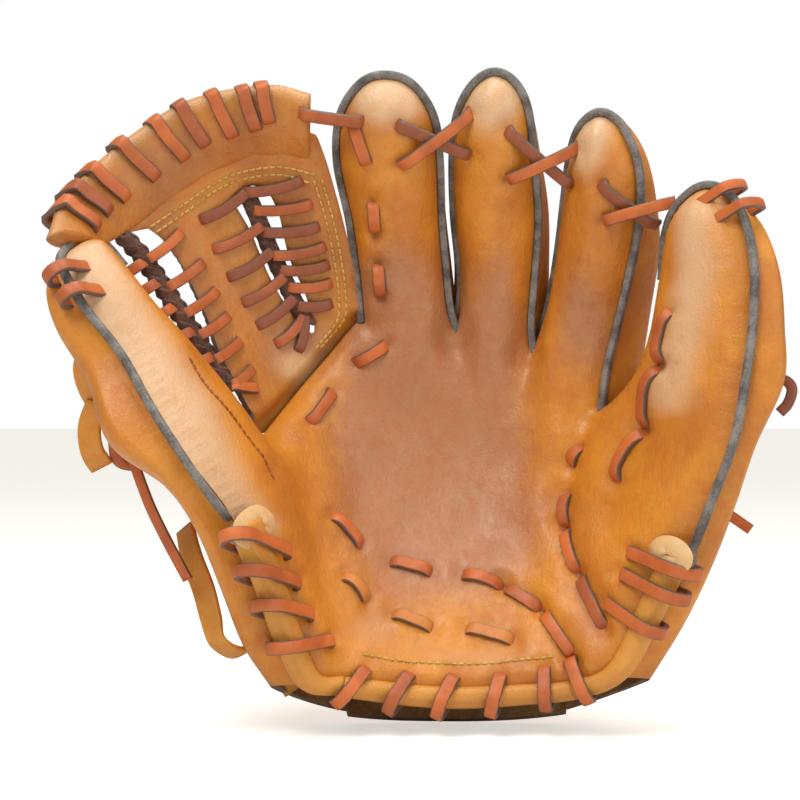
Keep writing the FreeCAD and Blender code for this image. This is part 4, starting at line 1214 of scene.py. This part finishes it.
border_lines = []
for gap in (3.2, 6.4):
    right = [(-21 - gap, 176), (-22 - gap, 192), (-26 - gap, 214), (-31.5 - gap, 235 - 0.3 * gap)]
    top = [(-33 - gap, 237 - gap), (-54, 240 - gap), (-76, 235 - gap), (-96 + gap * 0.3, 222 - gap),
           (-110 + gap * 0.4, 211 - gap)]
    low = [(-21 - gap, 175), (-24 - gap * 0.9, 169), (-36 - gap * 0.6, 156.5)]
    border_lines += [right, top, low]
web_stitches = stitches("web_stitches", border_lines, 3.0, on_web)
dress(web_stitches, thread, slot="web_leather")
bend_web(web_stitches)
heel_row = [(68, 23), (48, 19.5), (23, 18), (-2, 19.5), (-22, 23.5)]
heel_stitches = stitches("heel_stitches", [heel_row], 3.4, on_hide)
dress(heel_stitches, thread, slot="shell_leather")
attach(heel_stitches, "palm")
thumb_row = [(-96, 146), (-88, 133), (-77, 119), (-66, 105), (-60, 96)]
thumb_stitches = stitches("thumb_stitches", [thumb_row], 3.0, on_hide)
dress(thumb_stitches, seam_thread, slot="shell_leather")
bend(thumb_stitches)
print(len(border_lines), "rows of stitching on the web")

# %% [markdown]
# ## Laces
#
# Rawhide lace is about 6 mm wide and 2.4 mm thick.  A run that shows comes up through one hole, lies on
# the hide and goes down through the next, and it pulls the leather into a hollow at each hole.

# %% Runs of lace over a surface
def laid(x0, z0, x1, z1, height, thick=LACE_THICK, dip=3.4, lift=0.0, ends=(True, True), bow=0.0):
    """Path of one visible run from hole to hole."""
    length = math.hypot(x1 - x0, z1 - z0)
    bends = np.array([0, 0.8, 2.0, 3.4])
    middle = np.linspace(4.6, length - 4.6, max(2, int(length / 4)))
    s = np.unique(np.concatenate([bends, middle, length - bends[::-1]]))
    s = s[(s >= 0) & (s <= length)]
    share = s / length
    x, z = x0 + (x1 - x0) * share, z0 + (z1 - z0) * share
    aside = 4 * bow * share * (1 - share) / length
    x, z = x + aside * (z1 - z0), z - aside * (x1 - x0)
    base = height(x, z)
    chord = base[0] + (base[-1] - base[0]) * share
    base = np.maximum(base, chord)
    sink = np.zeros_like(s)
    if ends[0]:
        sink = np.maximum(sink, 1 - ramp(s, 0, 2.6))
    if ends[1]:
        sink = np.maximum(sink, 1 - ramp(length - s, 0, 2.6))
    h = base + thick / 2 + 0.25 - (dip + thick / 2) * sink + lift * np.sin(math.pi * share) ** 0.7
    return wrap(x, z, h), normal(x, z)


def lace_piece(name, runs, tones, width=LACE_WIDTH, thick=LACE_THICK, stands_for=(), gold=None):
    """Runs of lace as one piece; gold is how far handling has polished it."""
    piece = strap(name, runs, width, thick, tones)
    if gold:
        layer = piece.data.attributes["wear_and_shade"]
        spots = np.zeros(len(layer.data) * 4, np.float32)
        layer.data.foreach_get("color", spots)
        spots = spots.reshape(-1, 4)
        spots[:, 1] = gold
        layer.data.foreach_set("color", spots.ravel())
    return dress(piece, lace, slot="rawhide_lace", stands_for=stands_for)


TONES = [0.15, 0.35, 0.2, 0.5, 0.3]
for name, runs in PALM_LACES.items():
    gold = 0.55 if name == "palm_lace_lower" else None
    piece = lace_piece(name + "_run", [laid(*run, on_hide) for run in runs], TONES, stands_for=(name,),
                       gold=gold)
    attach(piece, "palm")
index_run = lace_piece("index_lace_run", [laid(*run, on_hide) for run in INDEX_LACE], TONES,
                       stands_for=("index_lace",))
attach(index_run, "palm")
little_run = lace_piece("little_finger_lace_run", [laid(*run, on_hide, bow=2.0) for run in LITTLE_LACES],
                        [0.4, 0.3, 0.2], stands_for=("little_finger_lace", "little_finger_break_lace"))
bend(little_run)
print("palm laces laid")

# %% [markdown]
# ## Crosses between the fingers
#
# Between two stalls one lace goes straight over the gap and the next rides over it.  The upper one is
# lifted by a lace's thickness at the middle, so that the two touch and don't cut each other.

# %% Crossed laces between the fingers
for name, (x0, z0, x1, z1, x2, z2, x3, z3) in CROSSES.items():
    low = laid(x0, z0, x1, z1, on_hide, lift=0.3)
    high = laid(x2, z2, x3, z3, on_hide, lift=3.4)
    piece = lace_piece(name + "_cross", [low, high], [0.75, 0.25], width=5.2, stands_for=(name + "_lace",))
    join(piece, "little_finger" if name == "ring_little" else "palm")
print("crosses tied")

# %% [markdown]
# ## Laces of the web
#
# Two braids of old, dark lace fill the gap beside the thumb and the slot.  From each braid short runs
# reach into rows of holes and hold the web open.  A braid is three strands that circle one line, and
# each run starts from the braid near its hole.

# %% Web laces: braids in the gap and in the slot, and the rungs that reach into the leather
BRAID_THUMB = [(-118, 205), (-110, 196), (-103, 186), (-96, 175), (-89, 164), (-81, 151), (-74, 140)]
BRAID_SLOT = [(-67, 226), (-61.5, 213), (-57, 201), (-52, 190), (-47, 179), (-41.5, 169)]
WEB_LEFT = [(-88, 213), (-83, 200), (-77, 188), (-71, 177), (-65, 167), (-57, 159), (-47, 156)]
WEB_RIGHT = [(-42, 232), (-38, 222), (-35, 212.5), (-32.5, 204), (-31, 196), (-30, 188), (-30, 179)]
THUMB_HOLES = [(-95, 208), (-86, 195), (-80.5, 183), (-76, 172), (-71, 161), (-66, 149), (-63, 139)]


STRANDS = 3


def braid(points, spread, pitch, h):
    """Strands that wind round each other along a drawn line."""
    p = curve_through(points, 2.0)
    far = np.concatenate([[0], np.cumsum(np.linalg.norm(np.diff(p, axis=0), axis=1))])
    ahead = np.gradient(p, axis=0)
    ahead /= np.linalg.norm(ahead, axis=1, keepdims=True)
    runs = []
    for k in range(STRANDS):
        a = 2 * math.pi * (far / pitch + k / STRANDS)
        side = spread * np.sin(a)
        x, z = p[:, 0] - ahead[:, 1] * side, p[:, 1] + ahead[:, 0] * side
        up = h + 0.75 * spread * np.cos(a)
        out = wrap(x, z, up) - wrap(p[:, 0], p[:, 1], h)
        runs.append((wrap(x, z, up), out / np.linalg.norm(out, axis=1, keepdims=True)))
    return runs


braid_a = strap("thumb_side_braid", braid(BRAID_THUMB, 2.3, 17, 0.5), 5.0, 2.2, [0.6, 0.9])
dress(braid_a, dark_lace, slot="rawhide_lace")
bend_web(braid_a)
braid_b = strap("slot_braid", braid(BRAID_SLOT, 2.6, 16, 1.0), 5.2, 2.2, [0.6, 0.9])
dress(braid_b, dark_lace, slot="rawhide_lace")
bend_web(braid_b)


print("two braids of", STRANDS, "strands")

# %% [markdown]
# ## Rungs of the web
#
# The short runs leave a braid a little further along than their hole, so they slant as they pull.

# %% Rungs of the web
def nearest(points, x, z):
    """Place on a drawn line that is nearest to x, z."""
    p = curve_through(points, 1.0)
    return p[np.argmin(np.hypot(p[:, 0] - x, p[:, 1] - z))]


def rung(hole, line, drop, slide, bow=0.0):
    """A run from a braid to a hole in the web; it leaves the braid slide mm further along."""
    p = curve_through(line, 1.0)
    i = int(np.argmin(np.hypot(p[:, 0] - hole[0], p[:, 1] - hole[1])))
    x, z = p[int(np.clip(i + slide, 0, len(p) - 1))]
    path, out = laid(x, z, hole[0], hole[1], on_web, ends=(False, True), bow=bow)
    path[0] -= out[0] * drop * MM
    return path, out


thumb_rungs = [rung(hole, BRAID_THUMB, 2.5, 3, 0.6) for hole in THUMB_HOLES]
left_rungs = [rung(hole, BRAID_SLOT, 2.5, -4, -1.2) for hole in WEB_LEFT]
right_rungs = [rung(hole, BRAID_SLOT, 2.5, -6, 1.2) for hole in WEB_RIGHT]
for name, runs, tones in (("web_left_lace", left_rungs, [0.8, 0.5, 0.9, 0.6]),
                          ("web_right_lace", right_rungs, [0.7, 0.4, 0.8, 0.5]),
                          ("web_middle_lace", thumb_rungs, [0.35, 0.5, 0.3, 0.45])):
    piece = lace_piece(name + "_rungs", runs, tones, width=4.8,
                       stands_for=() if name == "web_middle_lace" else (name,))
    bend_web(piece)
EDGE_HOLES = [(-113, 190), (-108, 181), (-101, 171), (-94, 161), (-86, 150)]
edge_runs = []
for x, z in EDGE_HOLES:
    bx, bz = nearest(BRAID_THUMB, x + 4, z + 3)
    path, out = laid(x, z, bx, bz, on_hide, ends=(True, False))
    path[-1] -= out[-1] * 2.5 * MM
    edge_runs.append((path, out))
edge_rungs = lace_piece("thumb_edge_rungs", edge_runs, [0.3, 0.5], width=4.8, stands_for=("web_thumb_lace",))
bend_web(edge_rungs)
index_web = lace_piece("web_index_lace_run", [laid(-43, 260, -15, 257, lambda x, z: 8.5 + 0 * x, lift=1.0),
                                              laid(-21, 258, -14, 240, on_hide)], [0.45, 0.2],
                       stands_for=("web_index_lace",))
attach(index_web, "palm")
print("web laced")


# %% [markdown]
# ## Laces that wind over an edge
#
# The band and the heel's binding are held by lace that winds round them.  Each turn comes out of a
# hole, goes flat over the edge and back behind, so it is one closed-looking loop of the same strap.

# %% Laces that wind over an edge
def winding(x0, z0, x1, z1, front, back, clear, slant=(0, 0)):
    """One turn: out of the hole, over the edge and back to a hole behind."""
    d = math.hypot(x1 - x0, z1 - z0)
    ux, uz = (x0 - x1) / d, (z0 - z1) / d
    middle, half = (front + back) / 2, (front - back) / 2 + 1.5
    path, outs = [], []

    def add(s, h, toward, side=0.0):
        x, z = x1 + ux * s + slant[0] * side, z1 + uz * s + slant[1] * side
        path.append(wrap(x, z, h))
        out = normal(x, z) * toward[1] + (wrap(x + ux, z + uz, h) - wrap(x, z, h)) / MM * toward[0]
        outs.append(out / np.linalg.norm(out))

    add(-0.6, front - 3.0, (-1, 0.3))
    add(0.0, front - 0.6, (-0.9, 0.6))
    add(1.4, front + 1.0, (-0.2, 1))
    add(0.35 * d, front + 1.4, (0, 1), 0.1)
    add(0.7 * d, front + 1.3, (0, 1), 0.2)
    for a in np.radians([75, 45, 15, -15, -45, -75]):
        add(d + (clear + 1.2) * math.cos(a), middle + half * math.sin(a), (math.cos(a), math.sin(a)),
            0.5 - a / 3)
    add(0.7 * d, back - 1.3, (0, -1), 0.9)
    add(0.35 * d, back - 1.3, (0, -1), 1.0)
    add(1.4, back - 1.0, (-0.2, -1), 1.0)
    add(0.0, back + 1.0, (-0.9, -0.6), 1.0)
    return np.array(path), np.array(outs)


BAND_TURNS = [(-58, 269.5, -56, 256), (-66, 268, -62, 253), (-79, 266, -72, 250), (-93, 261, -84, 246),
              (-104, 254, -93, 240), (-119, 244, -106, 231), (-131, 232, -119, 220), (-138, 223, -126, 212),
              (-142, 214, -130, 204)]
band_runs = [winding(*run, 7.2, -3.0, 0.6, (-2.0, -2.5)) for run in BAND_TURNS]
band_lace = lace_piece("web_band_winding", band_runs, [0.3, 0.45, 0.2, 0.55], width=5.8,
                       stands_for=("web_band_lace",))
bend_web(band_lace)
for name, slot_name in (("palm", "heel_lace"), ("thumb", "thumb_heel_lace"),
                        ("little_finger", "little_finger_heel_lace")):
    runs = [winding(*run, 10.6, -0.6, 4.4) for run in HEEL_TURNS[name]]
    piece = lace_piece(name + "_heel_winding", runs, [0.2, 0.4, 0.3], width=5.6, stands_for=(slot_name,))
    join(piece, name)
print("edges wound")


# %% [markdown]
# ## Binding along the heel
#
# A strip of soft hide is rolled over the raw edge of the heel.  Its section is a flattened ring that
# stands outside the edge, with a shallow crease where the strip's own edge lies.

# %% Rolled binding along the heel
def roll(name, points, low, high, reach):
    """A rolled edge along a drawn line, from height low to height high."""
    p = curve_through(points, 2.0)
    run = np.gradient(p, axis=0)
    run /= np.linalg.norm(run, axis=1, keepdims=True)
    out = np.stack([-run[:, 1], run[:, 0]], -1)
    a = np.linspace(0, 2 * math.pi, 29)[:-1]
    rings = []
    for (x, z), (ox, oz) in zip(p, out):
        across, up = np.cos(a) * reach, np.sin(a) * (high - low) / 2
        across = np.where(across < 0, across * 0.9, across) - 0.5
        crease = 0.5 * np.exp(-((a - 0.45) / 0.12) ** 2)
        across = across - crease * np.cos(a)
        rings.append(wrap(x + ox * across, z + oz * across, (high + low) / 2 + up - crease * np.sin(a)))
    return tube(name, rings, np.zeros((len(rings) * len(a), 3)) + [0, 0.3, 0])


HEEL_LINE = [(117, 72), (106, 46), (93, 22), (74, 12.5), (49, 8.9), (23, 7.5), (-2, 9.2), (-27, 13.5),
             (-41, 18), (-50, 36), (-58, 60), (-67, 84)]
heel_curve = curve_through(HEEL_LINE, 1.5)
first = int(np.argmin(np.hypot(heel_curve[:, 0] - 74, heel_curve[:, 1] - 12.5)))
last = int(np.argmin(np.hypot(heel_curve[:, 0] + 27, heel_curve[:, 1] - 13.5)))
for name, part, node_name in (("little_finger_roll", heel_curve[:first + 1], "little_finger_binding"),
                              ("palm_roll", heel_curve[first:last + 1], "heel_binding"),
                              ("thumb_roll", heel_curve[last:], "thumb_binding")):
    piece = roll(name, part, -1.0, 10.4, 3.9)
    dress(piece, strap_steer, slot="shell_leather", stands_for=(node_name,))
    join(piece, name.replace("_roll", ""))
print("binding rolled along", len(heel_curve), "points")


# %% [markdown]
# ## Rosettes
#
# Each end of the binding is gathered into a small pale star.  A disc with a soft shoulder and three
# folds towards its middle is enough at this size.

# %% Rolled ends of the binding
def rosette(name, x, z, radius, height, node_name):
    """The rolled end of the binding, gathered into a star of folds."""
    rings, columns = 12, 48
    angle = np.linspace(0, 2 * math.pi, columns + 1)[:-1]
    points = []
    for i in range(rings + 1):
        r = radius * i / rings
        folds = 0.9 * np.exp(-(r / radius / 0.5) ** 2) * (np.abs(np.sin(1.5 * angle + 0.6)) ** 0.5 - 1)
        top = height + 2.6 * (1 - (i / rings) ** 2.6) + folds
        points.append(wrap(x + r * np.cos(angle), z + r * np.sin(angle), top))
    points = np.array(points)
    faces = quads(rings + 1, columns) + [[i * columns + columns - 1, (i + 1) * columns + columns - 1,
                                          (i + 1) * columns, i * columns] for i in range(rings)]
    spots = np.zeros(((rings + 1) * columns, 3))
    spots[:, 1] = 0.95
    spots[:, 2] = np.repeat(0.7 * np.exp(-(np.arange(rings + 1) / 2.0) ** 2), columns)
    flat = points.reshape(-1, 3)
    if face_fans(flat, faces)[:, 1].mean() > 0:
        faces = [f[::-1] for f in faces]
    piece = skin(name, flat, faces, BINDING, spots=spots)
    dress(piece, strap_steer, cut_edge, suede, slot="binding_end_leather", stands_for=(node_name,))
    bend(piece)
    return piece


rosette("thumb_rosette", -64, 82, 8.0, 6.5, "thumb_binding_end")
rosette("little_finger_rosette", 117, 71, 7.5, 9.0, "little_finger_binding_end")
print("rosettes set")

# %% [markdown]
# ## Strap tie and flap
#
# Behind the thumb the wrist strap's tie makes a loop, a flap covers the end of the lace, and the lace
# is knotted and hangs.  At the little finger the lace ends stick out stiffly.  They are all straps
# along a few points in space, and the hanging end follows its own spline from the start of the file.

# %% Strap tie and flap
def free_run(origin, steps, outs=None):
    """A run through points in space, as mm from an origin."""
    p = np.array([np.array(origin, float) + step for step in steps])
    out = np.tile((0.0, -1.0, 0.0), (len(p), 1)) if outs is None else np.array(outs, float)
    return p * MM, out / np.linalg.norm(out, axis=1, keepdims=True)


TIE = [(-77.9, 5, 44.7), (-80.5, -8, 34.3), (-87.2, -22, 29.2), (-95.6, -28, 34.2), (-98.9, -24, 43.5),
       (-102.7, -18, 55.2), (-108.2, -14, 68.7), (-112, -4, 80)]
TIE_OUT = [(0.6, -1, -0.4), (0.3, -1, -0.8), (0, -0.8, -1), (-0.7, -0.9, -0.4), (-0.5, -1, 0.2),
           (-0.4, -1, 0.3), (-0.5, -1, 0.3), (-0.7, -0.8, 0.3)]
END = [(-70, 22, 46), (-76, 8, 36), (-77.5, -3, 27), (-70, -6, 18), (-65, -5, 11)]
END_OUT = [(-0.4, -1, -0.2), (-0.5, -1, -0.2), (-0.4, -1, 0), (-0.2, -1, 0.3), (-0.1, -1, 0.2)]
ORIGIN = (0, 0, 0)
strap_runs = [free_run(ORIGIN, TIE, TIE_OUT), free_run(ORIGIN, END, END_OUT)]
strap_loop = strap("strap_loop", strap_runs, 10, 2.4, [0.2, 0.1], step=1.6, crown=0.1)
dress(strap_loop, strap_steer, slot="strap_leather", stands_for=("strap_tie",))
FLAP = [(-146, -34, 158), (-151, -30, 149), (-149, -26, 139), (-143, -22, 130)]
TAB = [(-146, -27, 134), (-149, -29, 124), (-148, -29, 114), (-144, -27, 107)]
FLAP_OUT = [(-0.5, -1, 0.1)] * 4
flap_runs = [free_run(ORIGIN, FLAP, FLAP_OUT), free_run(ORIGIN, TAB, FLAP_OUT)]
thumb_flap = strap("thumb_flap", flap_runs, 11, 2.4, [0.1], step=2.0, crown=0.1)
dress(thumb_flap, strap_steer, slot="strap_leather")
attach(thumb_flap, "thumb")
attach(strap_loop, "thumb")
print("strap tie and flap set")

# %% [markdown]
# ## Knots and ends
#
# Turns round the tips of thumb and little finger, the knot behind the thumb, and the stiff ends.

# %% Knots and lace ends
KNOT_TURNS = [(-6, -4, 6), (2, -7, 4), (7, -3, -2), (2, 3, -6), (-5, 1, -4), (-6, -4, 6)]
TIP_TURNS = [(-137, 186, -127, 186), (-131, 177, -122, 176)]
knot_runs = [winding(*turn, 4, -4, 2.0) for turn in TIP_TURNS] + [free_run(KNOT, KNOT_TURNS)]
knots = lace_piece("thumb_knot_turns", knot_runs, [0.4, 0.3], stands_for=("thumb_knots",))
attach(knots, "thumb")
HOOK = [(-2, 2, -2), (3, -1, 1), (8, -3, 1.5), (11, -4, -2), (9.5, -4, -8), (6, -4, -12)]
STUB = [(-3, 2, 2), (5, -2, -3), (15, -5, -10)]
little_ends = lace_piece("little_finger_lace_ends",
                         [free_run((130.12, -33.74, 141.77), HOOK), free_run((110.28, -26.60, 91.33), STUB),
                          winding(136, 222, 124, 214, 5, -5, 1.0), winding(142, 214, 131, 207, 5, -5, 1.0)],
                         [0.9, 0.2, 0.3, 0.3], width=4.4, stands_for=("little_finger_knots",))
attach(little_ends, "little_finger")
tail_out = np.tile((-0.3, -1.0, 0.1), (len(tail_path), 1))
thumb_tail = strap("thumb_tail", [(np.array(tail_path), tail_out)], 4.4, 2.2, [0.35], step=2.0)
dress(thumb_tail, lace, slot="rawhide_lace", stands_for=("thumb_lace_tail",))
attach(thumb_tail, "thumb")
print("ends tied")

# %% [markdown]
# ## Floor
#
# A plain matt floor just under the glove.  It glows a little, for the camera only, so that it looks as
# pale as paper without lighting the leather, and it keeps the glove's shadow.

# %% Floor
bpy.context.view_layer.update()
floor_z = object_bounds()[0][2] - 0.0005
floor_corners = [(-6, -3, floor_z), (6, -3, floor_z), (6, 9, floor_z), (-6, 9, floor_z)]
floor_mesh = bpy.data.meshes.new("floor")
floor_mesh.from_pydata(floor_corners, [], [(0, 1, 2, 3)])
floor = bpy.data.objects.new("floor", floor_mesh)
bpy.context.scene.collection.objects.link(floor)
floor_finish = bpy.data.materials.new("pale_floor")
floor_finish.use_nodes = True
boards = floor_finish.node_tree
boards.nodes.clear()
matt = node(boards, "ShaderNodeBsdfDiffuse", Color=tint("#F1EDE6"))
glow = node(boards, "ShaderNodeEmission", Color=tint("#F7F4EE"), Strength=0.62)
lit = node(boards, "ShaderNodeAddShader", i0=matt, i1=glow)
to_camera = node(boards, "ShaderNodeLightPath").outputs["Is Camera Ray"]
choice = node(boards, "ShaderNodeMixShader", i0=to_camera, i1=matt, i2=lit)
node(boards, "ShaderNodeOutputMaterial", Surface=choice)
floor.data.materials.append(floor_finish)
print("floor at", round(floor_z * 1000, 1), "mm")

# %% [markdown]
# ## Light
#
# A dim white world that the camera sees as full white, and three broad soft lamps.  The key and the
# top lamp shine down into the pocket, so the heel is bright and the fingers shade towards their roots.

# %% World and lamps
world = bpy.data.worlds.new("studio")
bpy.context.scene.world = world
world.use_nodes = True
sky = world.node_tree
sky.nodes.clear()
to_camera = node(sky, "ShaderNodeLightPath").outputs["Is Camera Ray"]
level = node(sky, "ShaderNodeMapRange", Value=to_camera, To_Min=0.36, To_Max=1.0)
shade = node(sky, "ShaderNodeBackground", Color=(1, 1, 1, 1), Strength=level)
node(sky, "ShaderNodeOutputWorld", Surface=shade)
# where it stands and what it looks at (m), width (m), power (W)
LAMPS = {"key": ((-0.45, -0.75, 1.05), (0, 0, 0.1), 0.6, 9),
         "fill": ((0.8, -0.7, 0.5), (0, 0, 0.13), 0.9, 3.6),
         "top": ((0.15, -0.1, 1.15), (0, 0, 0.1), 0.7, 7)}
for name, (spot, aim, size, power) in LAMPS.items():
    lamp = bpy.data.lights.new(name, "AREA")
    lamp.energy, lamp.size = power, size
    holder = bpy.data.objects.new(name, lamp)
    holder.location = spot
    holder.rotation_euler = (Vector(aim) - Vector(spot)).to_track_quat("-Z", "Y").to_euler()
    bpy.context.scene.collection.objects.link(holder)
bpy.context.scene.view_settings.view_transform = "Standard"
print("lamps:", list(LAMPS))
